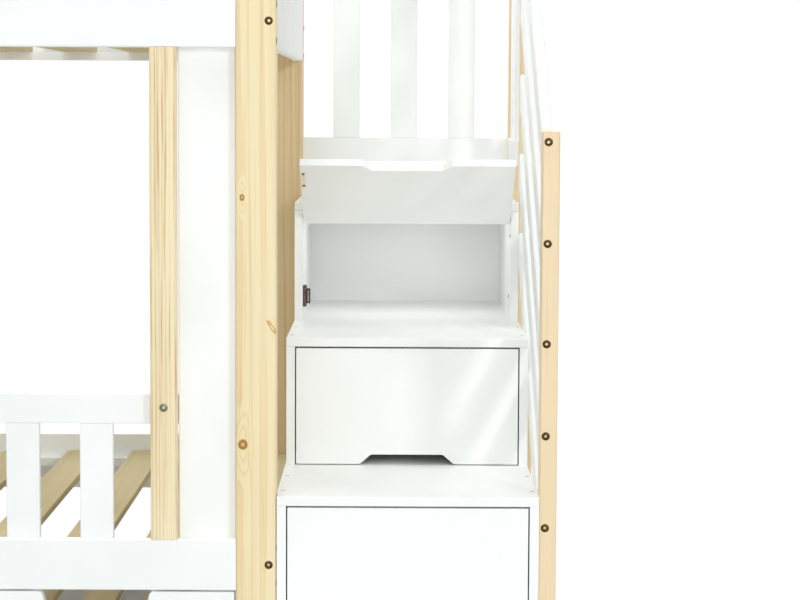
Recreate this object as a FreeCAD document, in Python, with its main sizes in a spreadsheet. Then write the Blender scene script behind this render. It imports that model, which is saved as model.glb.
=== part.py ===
import FreeCAD, Part
import os
import re

import Sketcher

# A bunk bed with a storage staircase at its right-hand end, in millimetres, +Z up, +Y to the rear.
# Positions are written from the front lower corner of the bed's stair end: x = 0 on that end plane
# (the bed runs to -x, the stairs to +x), y = 0 on the bed's front plane, z = 0 on the floor.
# ORIGIN_X and ORIGIN_Y move that corner so that the part's origin is under the middle of the whole.

SIZES = {
    # bed frame
    "bed_length": 1985, "bed_depth": 1077, "post_width": 69, "post_depth": 50, "post_height": 1670,
    "rail_thick": 20, "rail_height": 88, "lower_rail_base": 314, "upper_rail_base": 1249,
    "rear_rail_base": 292, "rear_rail_height": 122, "end_rail_thick": 25,
    "upper_end_rail_height": 150, "post_ease": 3, "rail_ease": 2.5, "end_rail_ease": 8,
    "ledger_width": 20, "ledger_height": 18, "ledger_drop": 40,
    "slat_width": 70, "slat_thick": 15, "slat_count": 14, "slat_margin": 3, "slat_play": 2,
    "slat_ease": 2, "post_notch_play": 1,
    # batten, filler board, fence and guards
    "batten_inset": 170, "batten_width": 46, "batten_ease": 3, "filler_inset": 70,
    "filler_width": 99, "guard_thick": 15, "picket_width": 57.5, "fence_rail_height": 52,
    "fence_picket_height": 221.5, "fence_picket_inset": 283, "fence_gap": 70, "fence_picket_count": 7,
    "guard_rail_base": 1598, "front_guard_count": 14, "left_guard_count": 7,
    "right_guard_count": 4, "right_guard_end": 600, "slat_top_play": 2.5, "guard_ease": 2,
    # staircase
    "stair_gap": 1.3, "stair_width": 452.7, "board_thick": 16, "tread_depth": 316, "riser": 239,
    "tread_ease": 1.5, "stair_guard_top": 1081.5, "stair_picket_inset": 67,
    "stair_picket_pitch": 127, "stair_picket_count": 3, "stair_guard_setback": 15,
    "side_picket_count": 2,
    # drawers
    "front_gap": 2.5, "front_top_gap": 3, "front_base_gap": 2, "notch_base": 176, "notch_top": 135,
    "notch_height": 18, "notch_round": 7, "runner_height": 15, "runner_setback": 3,
    "drawer_play": 13, "drawer_side_thick": 12, "drawer_depth": 420,
    "drawer_side_height": 165, "drawer_lift": 18, "drawer_base_thick": 8,
    # flap of the top compartment, drawn open
    "flap_thick": 15, "flap_gap": 1.5, "flap_height": 219, "flap_above_pivot": 11,
    "flap_drop": 14.5, "flap_open": 124, "pin_radius": 2.5, "pin_length": 20,
    "pin_in_flap": 10, "pin_play": 0.05, "strike_width": 8, "strike_height": 58,
    "strike_thick": 1.5, "strike_inset": 2, "strike_lift": 22, "catch_plate": 7,
    "catch_width": 15, "catch_height": 43, "catch_block": 29, "catch_depth": 26,
    "catch_setback": 2, "catch_lift": 25.6,
    # handrail
    "newel_width": 30, "newel_depth": 40, "newel_short": 1108, "newel_tall": 1650,
    "hand_board_thick": 20, "hand_board_width": 57.5, "hand_bolt_1": 1090.7, "hand_bolt_2": 917,
    "hand_bolt_3": 744.7, "hand_bolt_4": 585.4, "hand_bolt_5": 425.6, "hand_bolt_rise": 13,
    "hand_board_ease": 4,
    # trundle bed on wheels
    "trundle_gap": 3, "trundle_top_gap": 3, "trundle_base": 20, "trundle_board": 20,
    "trundle_depth": 960, "trundle_side_base": 58, "trundle_side_height": 142,
    "trundle_side_inset": 14, "trundle_ledger_top": 115, "hold_base": 187, "hold_top": 176,
    "hold_height": 26, "hold_inset": 218, "hold_round": 9, "wheel_radius": 25, "wheel_width": 20,
    "wheel_inset": 90, "axle_radius": 4, "axle_play": 0.05, "fork_thick": 3, "fork_play": 1,
    "fork_plate": 3, "fork_depth": 30, "wheel_round": 3,
    # fasteners
    "bolt_radius": 4, "bolt_head_radius": 7, "bolt_head": 3.5, "bolt_proud": 1,
    "bolt_length": 112, "hand_bolt_length": 82, "batten_bolt_length": 33, "bolt_play": 0.25,
    "bolt_head_play": 0.3, "socket_radius": 3, "socket_depth": 2.2, "bolt_low": 12,
    "bolt_high": 73, "end_bolt": 45, "nut_radius": 5, "nut_length": 16, "nut_back": 14,
    "batten_bolt_height": 632, "screw_radius": 2, "screw_head_radius": 4, "screw_head": 3,
    "screw_length": 40, "screw_first": 60, "screw_second": 205,
}

DOC = FreeCAD.newDocument("bunk_bed_with_storage_stairs")
SHEET = DOC.addObject("Spreadsheet::Sheet", "Sizes")
for row, (name, value) in enumerate(SIZES.items(), start=1):
    SHEET.set(f"A{row}", name)
    SHEET.set(f"B{row}", str(value))
    SHEET.setAlias(f"B{row}", name)
DOC.recompute()

ALIAS = re.compile(r"\b(" + "|".join(sorted(SIZES, key=len, reverse=True)) + r")\b")
ORIGIN_X = "((bed_length + bolt_proud - stair_gap - stair_width - newel_width) / 2)"
ORIGIN_Y = "((tread_depth - bed_depth - bolt_proud) / 2)"
NODES = []

# how a piece's own axis (+Z as drawn) is turned to point along each direction
TURN = {
    "+X": FreeCAD.Rotation(FreeCAD.Vector(1, 1, 1), 120),
    "-X": FreeCAD.Rotation(FreeCAD.Vector(0, 1, 0), -90),
    "+Y": FreeCAD.Rotation(FreeCAD.Vector(1, 1, 1), 240),
    "-Y": FreeCAD.Rotation(FreeCAD.Vector(1, 0, 0), 90),
    "+Z": FreeCAD.Rotation(),
    "-Z": FreeCAD.Rotation(FreeCAD.Vector(1, 0, 0), 180),
}


def bound(text):
    """Write a formula with every size name pointing at the sheet."""
    return ALIAS.sub(r"Sizes.\1", str(text))


def number(text):
    """Value of a formula, worked out by the sheet."""
    return float(SHEET.evalExpression(bound(text)))


def place(item, x, y, z, turn=None):
    """Put an object at a point of the bed's corner frame, bound to the sheet."""
    spots = (f"{ORIGIN_X} + {x}", f"{ORIGIN_Y} + {y}", f"{z}")
    item.Placement = FreeCAD.Placement(FreeCAD.Vector(*map(number, spots)),
                                       turn or FreeCAD.Rotation())
    for axis, text in zip("xyz", spots):
        item.setExpression(f"Placement.Base.{axis}", bound(text))
    return item


def node(item, label):
    """Name a finished sub-part."""
    item.Label = label
    NODES.append(item)
    return item


def origin_plane(body, role="XY_Plane"):
    """Origin plane of a body, found by its role."""
    return next(f for f in body.Origin.OriginFeatures if f.Role == role)


def new_body(name):
    """Empty body with a sketch on its own XY plane."""
    body = DOC.addObject("PartDesign::Body", name)
    sketch = body.newObject("Sketcher::SketchObject", name + "_sketch")
    sketch.AttachmentSupport = [(origin_plane(body), "")]
    sketch.MapMode = "FlatFace"
    return body, sketch


def bind_last(sketch, text):
    """Bind the newest constraint of a sketch to a formula."""
    sketch.setExpression(f"Constraints[{sketch.ConstraintCount - 1}]", bound(text))


def polygon(sketch, corners):
    """Closed outline whose corners are formulas measured from the sketch's origin."""
    spots = [(number(u), number(v)) for u, v in corners]
    count = len(spots)
    for i in range(count):
        a, b = spots[i], spots[(i + 1) % count]
        sketch.addGeometry(Part.LineSegment(FreeCAD.Vector(*a, 0), FreeCAD.Vector(*b, 0)))
    for i in range(count):
        sketch.addConstraint(Sketcher.Constraint("Coincident", i, 2, (i + 1) % count, 1))
    for i, (u, v) in enumerate(corners):
        for kind, text, value in (("DistanceX", u, spots[i][0]), ("DistanceY", v, spots[i][1])):
            sketch.addConstraint(Sketcher.Constraint(kind, i, 1, value))
            bind_last(sketch, text)


def rounded_rectangle(sketch, width, height, ease):
    """Rectangle with equal round corners, its lower left limits on the sketch's axes."""
    w, h, r = number(width), number(height), number(ease)
    ends = [((r, 0), (w - r, 0)), ((w, r), (w, h - r)), ((w - r, h), (r, h)), ((0, h - r), (0, r))]
    for a, b in ends:
        sketch.addGeometry(Part.LineSegment(FreeCAD.Vector(*a, 0), FreeCAD.Vector(*b, 0)))
    up, quarter = FreeCAD.Vector(0, 0, 1), 1.5707963267948966
    for i, (cx, cy) in enumerate(((w - r, r), (w - r, h - r), (r, h - r), (r, r))):
        circle = Part.Circle(FreeCAD.Vector(cx, cy, 0), up, r)
        sketch.addGeometry(Part.ArcOfCircle(circle, (i - 1) * quarter, i * quarter))
    for i in range(4):
        arc, after = 4 + i, (i + 1) % 4
        sketch.addConstraint(Sketcher.Constraint("Tangent", i, 2, arc, 1))
        sketch.addConstraint(Sketcher.Constraint("Tangent", arc, 2, after, 1))
        if i:
            sketch.addConstraint(Sketcher.Constraint("Equal", 4, arc))
    sketch.addConstraint(Sketcher.Constraint("Horizontal", 0))
    sketch.addConstraint(Sketcher.Constraint("Vertical", 1))
    sketch.addConstraint(Sketcher.Constraint("Horizontal", 2))
    sketch.addConstraint(Sketcher.Constraint("Vertical", 3))
    sketch.addConstraint(Sketcher.Constraint("PointOnObject", 0, 1, -1))
    sketch.addConstraint(Sketcher.Constraint("PointOnObject", 3, 1, -2))
    sketch.addConstraint(Sketcher.Constraint("Radius", 4, r))
    bind_last(sketch, ease)
    sketch.addConstraint(Sketcher.Constraint("DistanceX", -1, 1, 1, 1, w))
    bind_last(sketch, width)
    sketch.addConstraint(Sketcher.Constraint("DistanceY", -1, 1, 2, 1, h))
    bind_last(sketch, height)


def pad(body, sketch, length):
    """Raise a sketch by a formula's length."""
    feature = body.newObject("PartDesign::Pad", sketch.Name + "_pad")
    feature.Profile = sketch
    feature.Length = number(length)
    feature.setExpression("Length", bound(length))
    return feature


def ease_edges(body, base, radius, wanted):
    """Round the edges of a body's newest feature that a test picks."""
    DOC.recompute()
    names = [f"Edge{i}" for i, edge in enumerate(base.Shape.Edges, start=1) if wanted(edge)]
    fillet = body.newObject("PartDesign::Fillet", base.Name + "_ease")
    fillet.Base = (base, names)
    fillet.Radius = number(radius)
    fillet.setExpression("Radius", bound(radius))
    body.Tip = fillet
    return fillet


def notch_corners(deep, mouth, width):
    """Test that picks a notch's own corners, inner and outer, and leaves the board's four."""
    levels, ends = (number(deep), number(mouth)), number(width)
    return lambda edge: (edge.BoundBox.ZLength > 5 and 1 < edge.BoundBox.XMin < ends - 1
                         and any(abs(edge.BoundBox.YMax - level) < 0.01 for level in levels))


SECTION = {"X": (1, 2, 0), "Y": (2, 0, 1), "Z": (0, 1, 2)}


def board(name, along, at, size, ease="rail_ease", repeat=None):
    """Board or post with eased long edges, running along one axis from its lowest corner.

    repeat is (direction, pitch, count) and makes a row of separate equal boards.
    """
    body, sketch = new_body(name)
    first, second, run = (size[i] for i in SECTION[along])
    rounded_rectangle(sketch, first, second, ease)
    blank = pad(body, sketch, run)
    body.Tip = blank
    if repeat:
        direction, pitch, count = repeat
        body.AllowCompound = True
        DOC.recompute()
        row = body.newObject("PartDesign::LinearPattern", name + "_row")
        row.Originals = [blank]
        order = [SECTION[along][i] for i in range(3)]
        side = ("H_Axis", "V_Axis", "N_Axis")[order.index("XYZ".index(direction))]
        row.Direction = (sketch, [side])
        row.Occurrences = int(number(count))
        row.setExpression("Occurrences", bound(count))
        row.Length = number(f"({pitch}) * ({count} - 1)")
        row.setExpression("Length", bound(f"({pitch}) * ({count} - 1)"))
        body.Tip = row
    return place(body, *at, TURN["+" + along])


def box(name, at, size):
    """Plain square-edged board."""
    item = DOC.addObject("Part::Box", name)
    for prop, text in zip(("Length", "Width", "Height"), size):
        item.setExpression(prop, bound(text))
    return place(item, *at)


def rod(name, direction, at, radius, length):
    """Cylinder that starts at a point and runs along one direction."""
    item = DOC.addObject("Part::Cylinder", name)
    item.setExpression("Radius", bound(radius))
    item.setExpression("Height", bound(length))
    return place(item, *at, TURN[direction])


def together(name, pieces):
    """Several separate solids kept as one group."""
    item = DOC.addObject("Part::Compound", name)
    item.Links = pieces
    return item


def cut(name, base, tools):
    """One piece with holes or notches taken out of it."""
    item = DOC.addObject("Part::Cut", name)
    item.Base = base
    item.Tool = tools[0] if len(tools) == 1 else together(name + "_tools", tools)
    return item


def joined(name, pieces):
    """Pieces made in one."""
    item = DOC.addObject("Part::MultiFuse", name)
    item.Shapes = pieces
    return item


def copy_of(name, master, direction, at):
    """Another piece like a master, turned from +Z to a direction."""
    item = DOC.addObject("App::Link", name)
    item.LinkedObject = master
    return place(item, *at, TURN[direction])


# ---------------------------------------------------------------- bolts and barrel nuts

STEP = {"+X": (0, 1), "-X": (0, -1), "+Y": (1, 1), "-Y": (1, -1), "+Z": (2, 1), "-Z": (2, -1)}


def moved(at, direction, distance):
    """Point further along a direction."""
    axis, sign = STEP[direction]
    spots = list(at)
    spots[axis] = f"({spots[axis]}) {'+' if sign > 0 else '-'} ({distance})"
    return tuple(spots)


class Bolt:
    """Socket bolt let into the surface it starts at, with a barrel nut near its tip."""

    def __init__(self, name, direction, at, length, nut=None):
        self.name, self.direction, self.at, self.length, self.nut = name, direction, at, length, nut

    def holes(self, tag):
        """Counterbore and clearance hole, for the pieces that the bolt passes through."""
        sunk = moved(self.at, self.direction, "-5")
        return [rod(f"{tag}_{self.name}_sink", self.direction, sunk,
                    "bolt_head_radius + bolt_head_play", "5 + bolt_head - bolt_proud"),
                rod(f"{tag}_{self.name}_bore", self.direction, sunk,
                    "bolt_radius + bolt_play", f"5 + {self.length} + 1")]

    def nut_hole(self, tag):
        """Blind cross hole for the barrel nut."""
        direction, start = self.nut
        return rod(f"{tag}_{self.name}_nut", direction, start, "nut_radius", "nut_length")


def post_bolts(tag, end, side):
    """Six bolts of one corner post: four along the rails, two along the end rails."""
    right, front = end == "right", side == "front"
    face_x = "0" if right else "0 - bed_length"
    face_y = "0" if front else "bed_depth"
    along_x, along_y = ("-X" if right else "+X"), ("+Y" if front else "-Y")
    rail_y = "rail_thick / 2" if front else "bed_depth - rail_thick / 2"
    end_x = "0 - end_rail_thick / 2" if right else "0 - bed_length + end_rail_thick / 2"
    inner_y = "rail_thick" if front else "bed_depth - rail_thick"
    inner_x = "0 - end_rail_thick" if right else "0 - bed_length + end_rail_thick"
    bolts = []
    for level, base in (("lower", "lower_rail_base"), ("upper", "upper_rail_base")):
        for spot in ("bolt_low", "bolt_high"):
            at = (face_x, rail_y, f"{base} + {spot}")
            deep = moved(at, along_x, "bolt_length - nut_back")
            nut = ("-Y" if front else "+Y", (deep[0], inner_y, deep[2]))
            bolts.append(Bolt(f"{level}_{spot}", along_x, at, "bolt_length", nut))
        at = (end_x, face_y, f"{base} + end_bolt")
        deep = moved(at, along_y, "bolt_length - nut_back")
        nut = ("+X" if right else "-X", (inner_x, deep[1], deep[2]))
        bolts.append(Bolt(f"{level}_end", along_y, at, "bolt_length", nut))
    return bolts


CORNERS = {(end, side): post_bolts("", end, side)
           for end in ("left", "right") for side in ("front", "rear")}


def rail_bolts(side, level):
    """Bolts that enter one long rail, from both ends."""
    return [(end, bolt) for end in ("left", "right") for bolt in CORNERS[end, side]
            if bolt.name.startswith(level) and not bolt.name.endswith("_end")]


def end_rail_bolts(end, level):
    """Bolts that enter one end rail, from front and rear."""
    return [(side, bolt) for side in ("front", "rear") for bolt in CORNERS[end, side]
            if bolt.name == level + "_end"]


# ---------------------------------------------------------------- corner posts and rails

for (end, side), bolts in CORNERS.items():
    tag = f"{side}_{end}_post"
    corner = ("0 - post_width" if end == "right" else "0 - bed_length",
              "0" if side == "front" else "bed_depth - post_depth", "0")
    blank = board(tag + "_blank", "Z", corner, ("post_width", "post_depth", "post_height"),
                  "post_ease")
    node(cut(tag + "_cut", blank, [t for b in bolts for t in b.holes(tag)]), tag)

RAIL_RUN = "bed_length - 2 * post_width"
for level in ("lower", "upper"):
    for side in ("front", "rear"):
        tag = f"{level}_{side}_rail"
        low = side == "rear" and level == "lower"
        base = "rear_rail_base" if low else f"{level}_rail_base"
        tall = "rear_rail_height" if low else "rail_height"
        at = ("0 - bed_length + post_width",
              "0" if side == "front" else "bed_depth - rail_thick", base)
        blank = board(tag + "_blank", "X", at, (RAIL_RUN, "rail_thick", tall))
        tools = []
        for end, bolt in rail_bolts(side, level):
            tools += [bolt.holes(f"{tag}_{end}")[1], bolt.nut_hole(f"{tag}_{end}")]
        node(cut(tag + "_cut", blank, tools), tag)

END_RUN = "bed_depth - 2 * post_depth"
for level, tall in (("lower", "rail_height"), ("upper", "upper_end_rail_height")):
    for end in ("left", "right"):
        tag = f"{level}_{end}_end_rail"
        at = ("0 - end_rail_thick" if end == "right" else "0 - bed_length", "post_depth",
              f"{level}_rail_base")
        blank = board(tag + "_blank", "Y", at, ("end_rail_thick", END_RUN, tall), "end_rail_ease")
        tools = []
        for side, bolt in end_rail_bolts(end, level):
            tools += [bolt.holes(f"{tag}_{side}")[1], bolt.nut_hole(f"{tag}_{side}")]
        node(cut(tag + "_cut", blank, tools), tag)

# ---------------------------------------------------------------- ledgers and slats

ledgers = []
for level in ("lower", "upper"):
    top = f"{level}_rail_base + " + ("48" if level == "lower" else "ledger_height")
    for side in ("front", "rear"):
        at = ("0 - bed_length + post_width", "rail_thick" if side == "front" else
              "bed_depth - rail_thick - ledger_width", f"{top} - ledger_height")
        ledgers.append(box(f"{level}_{side}_ledger", at,
                           (RAIL_RUN, "ledger_width", "ledger_height")))
node(together("slat_ledgers_group", ledgers), "slat_ledgers")

SLAT_PITCH = "((bed_length - 2 * end_rail_thick - 2 * slat_margin - slat_width) / (slat_count - 1))"
SLAT_LEFT = "0 - bed_length + end_rail_thick + slat_margin"
SLAT_TOP = {"lower": "lower_rail_base + 48 + slat_thick",
            "upper": "upper_rail_base + ledger_height + slat_thick"}
for level in ("lower", "upper"):
    at = (SLAT_LEFT, "rail_thick + slat_play", f"{SLAT_TOP[level]} - slat_thick")
    rows = board(f"{level}_slat", "Y", at,
                 ("slat_width", "bed_depth - 2 * rail_thick - 2 * slat_play", "slat_thick"),
                 "slat_ease", ("X", SLAT_PITCH, "slat_count"))
    corners = []
    for end, x in (("left", "0 - bed_length"), ("right", "0 - post_width - post_notch_play")):
        for side, y in (("front", "0"), ("rear", "bed_depth - post_depth - post_notch_play")):
            corners.append(box(f"{level}_slat_{side}_{end}_notch", (x, y, f"{at[2]} - 5"),
                               ("post_width + post_notch_play", "post_depth + post_notch_play",
                                "slat_thick + 10")))
    node(cut(f"{level}_slats_cut", rows, corners), f"{level}_slats")

# ---------------------------------------------------------------- batten, filler board and fence

RAIL_TOP = "lower_rail_base + rail_height"
PICKET_BASE = {k: f"{SLAT_TOP[k]} + slat_top_play" for k in SLAT_TOP}
FENCE_BASE = f"{PICKET_BASE['lower']} + fence_picket_height"
BATTEN_BOLT = Bolt("batten", "+Y", ("0 - batten_inset - batten_width / 2", "0",
                                    "batten_bolt_height"), "batten_bolt_length")
batten = board("batten_blank", "Z", ("0 - batten_inset - batten_width", "0", RAIL_TOP),
               ("batten_width", "rail_thick", f"upper_rail_base - ({RAIL_TOP})"), "batten_ease")
node(cut("batten_cut", batten, BATTEN_BOLT.holes("batten")), "front_batten")
filler = board("filler", "Z", ("0 - filler_inset - filler_width", "rail_thick",
                               PICKET_BASE["lower"]),
               ("filler_width", "guard_thick", f"upper_rail_base - ({PICKET_BASE['lower']})"))
node(filler, "front_filler_board")

FENCE_RUN = "(fence_picket_inset + picket_width * fence_picket_count" \
            " + fence_gap * (fence_picket_count - 1) - batten_inset)"
fence = board("fence_rail_blank", "X", (f"0 - batten_inset - {FENCE_RUN}", "rail_thick",
                                        FENCE_BASE),
              (FENCE_RUN, "guard_thick", "fence_rail_height"), "guard_ease")
node(cut("fence_rail_cut", fence, [BATTEN_BOLT.holes("fence")[1]]), "lower_fence_rail")
node(board("fence_picket", "Z", (f"0 - batten_inset - {FENCE_RUN}", "rail_thick",
                                 PICKET_BASE["lower"]),
           ("picket_width", "guard_thick", "fence_picket_height"), "guard_ease",
           ("X", "picket_width + fence_gap", "fence_picket_count")), "lower_fence_slats")

# ---------------------------------------------------------------- guards of the upper bunk

GUARD = ("guard_thick", "fence_rail_height")
END_X = {"left": "0 - bed_length + (end_rail_thick - guard_thick) / 2",
         "right": "0 - (end_rail_thick + guard_thick) / 2"}
END_TOP = "upper_rail_base + upper_end_rail_height"
for side, y in (("front", "rail_thick"), ("rear", "bed_depth - rail_thick - guard_thick")):
    node(board(f"{side}_guard_rail", "X", ("0 - bed_length + post_width", y, "guard_rail_base"),
               (RAIL_RUN, *GUARD), "guard_ease"), f"upper_{side}_guard_rail")
for end, run in (("left", END_RUN), ("right", "right_guard_end - post_depth")):
    node(board(f"{end}_guard_rail", "Y", (END_X[end], "post_depth", "guard_rail_base"),
               ("guard_thick", run, "fence_rail_height"), "guard_ease"),
         f"upper_{end}_guard_rail")

FRONT_GAP = f"(({RAIL_RUN}) - picket_width * front_guard_count) / (front_guard_count + 1)"
LEFT_GAP = f"(({END_RUN}) - picket_width * left_guard_count) / (left_guard_count + 1)"
RIGHT_GAP = "(right_guard_end - post_depth - picket_width * right_guard_count)" \
            " / right_guard_count"
LONG_PICKET = f"guard_rail_base - ({PICKET_BASE['upper']})"
pickets = []
for side, y in (("front", "rail_thick"), ("rear", "bed_depth - rail_thick - guard_thick")):
    at = (f"0 - bed_length + post_width + {FRONT_GAP}", y, PICKET_BASE["upper"])
    pickets.append(board(f"{side}_guard_picket", "Z", at,
                         ("picket_width", "guard_thick", LONG_PICKET), "guard_ease",
                         ("X", f"picket_width + {FRONT_GAP}", "front_guard_count")))
for end, gap, count in (("left", LEFT_GAP, "left_guard_count"),
                        ("right", RIGHT_GAP, "right_guard_count")):
    at = (END_X[end], f"post_depth + {gap}", END_TOP)
    pickets.append(board(f"{end}_guard_picket", "Z", at,
                         ("guard_thick", "picket_width", f"guard_rail_base - ({END_TOP})"),
                         "guard_ease", ("Y", f"picket_width + {gap}", count)))
node(together("upper_guard_slats_group", pickets), "upper_guard_slats")

# ---------------------------------------------------------------- staircase boards

INNER = "(stair_width - 2 * board_thick)"
LEFT_IN, RIGHT_IN = "stair_gap + board_thick", "stair_gap + stair_width - board_thick"
FRONT_Y = {1: "0 - tread_depth", 2: "0", 3: "tread_depth", 4: "2 * tread_depth"}
SCREWS = []
for i, front in FRONT_Y.items():
    for tag, x in (("left", "stair_gap + board_thick / 2"),
                   ("right", "stair_gap + stair_width - board_thick / 2")):
        for spot in ("screw_first", "screw_second"):
            SCREWS.append((i, tag, spot, "-Z", (x, f"{front} + {spot}", f"{i} * riser")))
NEWEL_Y = {"front": "0", "mid": "2 * tread_depth", "rear": "bed_depth - newel_depth"}
for name, y in NEWEL_Y.items():
    for spot, z in (("low", "riser / 2"), ("high", "riser * 3 / 2")):
        SCREWS.append((name, "newel", spot, "+X", (RIGHT_IN, f"{y} + newel_depth / 2", z)))


def screw_holes(tag, entry, head=True):
    """Pilot hole of one screw, with the seat of its head."""
    key, side, spot, direction, at = entry
    name = f"{tag}_{key}_{side}_{spot}"
    start = moved(at, direction, "-1")
    tools = [rod(name + "_bore", direction, start, "screw_radius", "screw_length + 1")]
    if head:
        tools.append(rod(name + "_seat", direction, start, "screw_head_radius",
                         "screw_head + 1"))
    return tools


PROFILE = [("0 - tread_depth", "0"), ("bed_depth", "0"), ("bed_depth", "4 * riser - board_thick"),
           ("2 * tread_depth", "4 * riser - board_thick"),
           ("2 * tread_depth", "3 * riser - board_thick"),
           ("tread_depth", "3 * riser - board_thick"), ("tread_depth", "2 * riser - board_thick"),
           ("0", "2 * riser - board_thick"), ("0", "riser - board_thick"),
           ("0 - tread_depth", "riser - board_thick")]
for tag, x in (("left", "stair_gap"), ("right", RIGHT_IN)):
    body, sketch = new_body(f"{tag}_panel")
    polygon(sketch, PROFILE)
    body.Tip = pad(body, sketch, "board_thick")
    place(body, x, "0", "0", TURN["+X"])
    tools = [t for s in SCREWS if s[1] == tag for t in screw_holes(f"{tag}_panel", s, False)]
    if tag == "right":
        tools += [t for s in SCREWS if s[1] == "newel" for t in screw_holes("right_panel", s)]
    pin_x = (f"{LEFT_IN} + flap_gap + pin_in_flap - pin_length" if tag == "left" else
             f"{RIGHT_IN} - flap_gap - pin_in_flap + pin_length")
    tools.append(rod(f"{tag}_panel_pin", "+X" if tag == "left" else "-X",
                     (pin_x, "2 * tread_depth + flap_thick / 2",
                      "4 * riser - board_thick - flap_drop"), "pin_radius", "pin_length"))
    node(cut(f"{tag}_panel_cut", body, tools), f"stair_{tag}_panel")

BACK_IN = "bed_depth - board_thick"
node(box("bottom_board", (LEFT_IN, "0 - tread_depth + board_thick", "0"),
         (INNER, f"{BACK_IN} + tread_depth - board_thick", "board_thick")), "stair_bottom_board")
node(box("back_panel", (LEFT_IN, BACK_IN, "0"),
         (INNER, "board_thick", "4 * riser - board_thick")), "stair_back_panel")
for i in (1, 2, 3):
    run = f"{BACK_IN} - ({FRONT_Y[i]})"
    body, sketch = new_body(f"tread_{i}_blank")
    polygon(sketch, [("0", "0"), ("stair_width", "0"), ("stair_width", "tread_depth"),
                     ("stair_width - board_thick", "tread_depth"),
                     ("stair_width - board_thick", run), ("board_thick", run),
                     ("board_thick", "tread_depth"), ("0", "tread_depth")])
    blank = pad(body, sketch, "board_thick")
    ease_edges(body, blank, "tread_ease", lambda e: abs(e.BoundBox.YMax) < 0.01 and
               e.BoundBox.XLength > 100)
    place(body, "stair_gap", FRONT_Y[i], f"{i} * riser - board_thick")
    tools = [t for s in SCREWS if s[0] == i for t in screw_holes(f"tread_{i}", s)]
    node(cut(f"tread_{i}_cut", body, tools), f"stair_tread_{i}")
platform = board("platform_blank", "X", ("stair_gap", FRONT_Y[4], "4 * riser - board_thick"),
                 ("stair_width", "bed_depth - 2 * tread_depth", "board_thick"), "tread_ease")
node(cut("platform_cut", platform, [t for s in SCREWS if s[0] == 4
                                    for t in screw_holes("platform", s)]), "stair_platform")

# ---------------------------------------------------------------- drawers

BOX_WIDTH = f"({INNER} - 2 * drawer_play)"
BOX_LEFT = f"{LEFT_IN} + drawer_play"
RUNNER_WIDTH = "drawer_play + drawer_side_thick"
runners = []
for i in (1, 2, 3):
    floor_z = "board_thick" if i == 1 else f"{i - 1} * riser"
    base = f"{floor_z} + front_base_gap"
    tall = f"({i} * riser - board_thick - front_top_gap - ({base}))"
    wide = f"({INNER} - 2 * front_gap)"
    body, sketch = new_body(f"drawer_{i}_front_body")
    polygon(sketch, [("0", "0"), (f"({wide} - notch_base) / 2", "0"),
                     (f"({wide} - notch_top) / 2", "notch_height"),
                     (f"({wide} + notch_top) / 2", "notch_height"),
                     (f"({wide} + notch_base) / 2", "0"), (wide, "0"), (wide, tall), ("0", tall)])
    blank = pad(body, sketch, "board_thick")
    ease_edges(body, blank, "notch_round", notch_corners("notch_height", "0", wide))
    place(body, f"{LEFT_IN} + front_gap", f"{FRONT_Y[i]} + board_thick", base, TURN["-Y"])
    node(body, f"drawer_{i}_front")
    back = f"{FRONT_Y[i]} + board_thick"
    low = f"{floor_z} + drawer_lift"
    sides = [box(f"drawer_{i}_{tag}", (x, back, low),
                 ("drawer_side_thick", "drawer_depth", "drawer_side_height"))
             for tag, x in (("left", BOX_LEFT),
                            ("right", f"{BOX_LEFT} + {BOX_WIDTH} - drawer_side_thick"))]
    inner = f"{BOX_WIDTH} - 2 * drawer_side_thick"
    sides.append(box(f"drawer_{i}_back", (f"{BOX_LEFT} + drawer_side_thick",
                                          f"{back} + drawer_depth - drawer_side_thick", low),
                     (inner, "drawer_side_thick", "drawer_side_height")))
    sides.append(box(f"drawer_{i}_base", (f"{BOX_LEFT} + drawer_side_thick", back, low),
                     (inner, "drawer_depth - drawer_side_thick", "drawer_base_thick")))
    node(together(f"drawer_{i}_box_group", sides), f"drawer_{i}_box")
    for tag, x in (("left", LEFT_IN), ("right", f"{RIGHT_IN} - ({RUNNER_WIDTH})")):
        runners.append(box(f"runner_{i}_{tag}", (x, f"{back} + runner_setback",
                                                 f"{low} - runner_height"),
                           (RUNNER_WIDTH, "drawer_depth", "runner_height")))
node(together("drawer_runners_group", runners), "drawer_runners")

# ---------------------------------------------------------------- flap, pins and catch

PIVOT_Y, PIVOT_Z = "2 * tread_depth + flap_thick / 2", "4 * riser - board_thick - flap_drop"
flap_turn = FreeCAD.Rotation(FreeCAD.Vector(1, 0, 0), 90 - number("flap_open"))
flap_wide = f"({INNER} - 2 * flap_gap)"
body, sketch = new_body("flap_body")
sketch.AttachmentOffset = FreeCAD.Placement(FreeCAD.Vector(0, 0, -number("flap_thick / 2")),
                                            FreeCAD.Rotation())
sketch.setExpression("AttachmentOffset.Base.z", bound("0 - flap_thick / 2"))
FREE = "flap_above_pivot - flap_height"
polygon(sketch, [("0", FREE), (f"({flap_wide} - notch_base) / 2", FREE),
                 (f"({flap_wide} - notch_top) / 2", f"{FREE} + notch_height"),
                 (f"({flap_wide} + notch_top) / 2", f"{FREE} + notch_height"),
                 (f"({flap_wide} + notch_base) / 2", FREE), (flap_wide, FREE),
                 (flap_wide, "flap_above_pivot"), ("0", "flap_above_pivot")])
blank = pad(body, sketch, "flap_thick")
ease_edges(body, blank, "notch_round", notch_corners(f"{FREE} + notch_height", FREE, flap_wide))
place(body, f"{LEFT_IN} + flap_gap", PIVOT_Y, PIVOT_Z, flap_turn)
bores = [rod("flap_left_bore", "+X", (LEFT_IN, PIVOT_Y, PIVOT_Z), "pin_radius + pin_play",
             "flap_gap + pin_in_flap + 1"),
         rod("flap_right_bore", "-X", (RIGHT_IN, PIVOT_Y, PIVOT_Z), "pin_radius + pin_play",
             "flap_gap + pin_in_flap + 1")]
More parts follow.
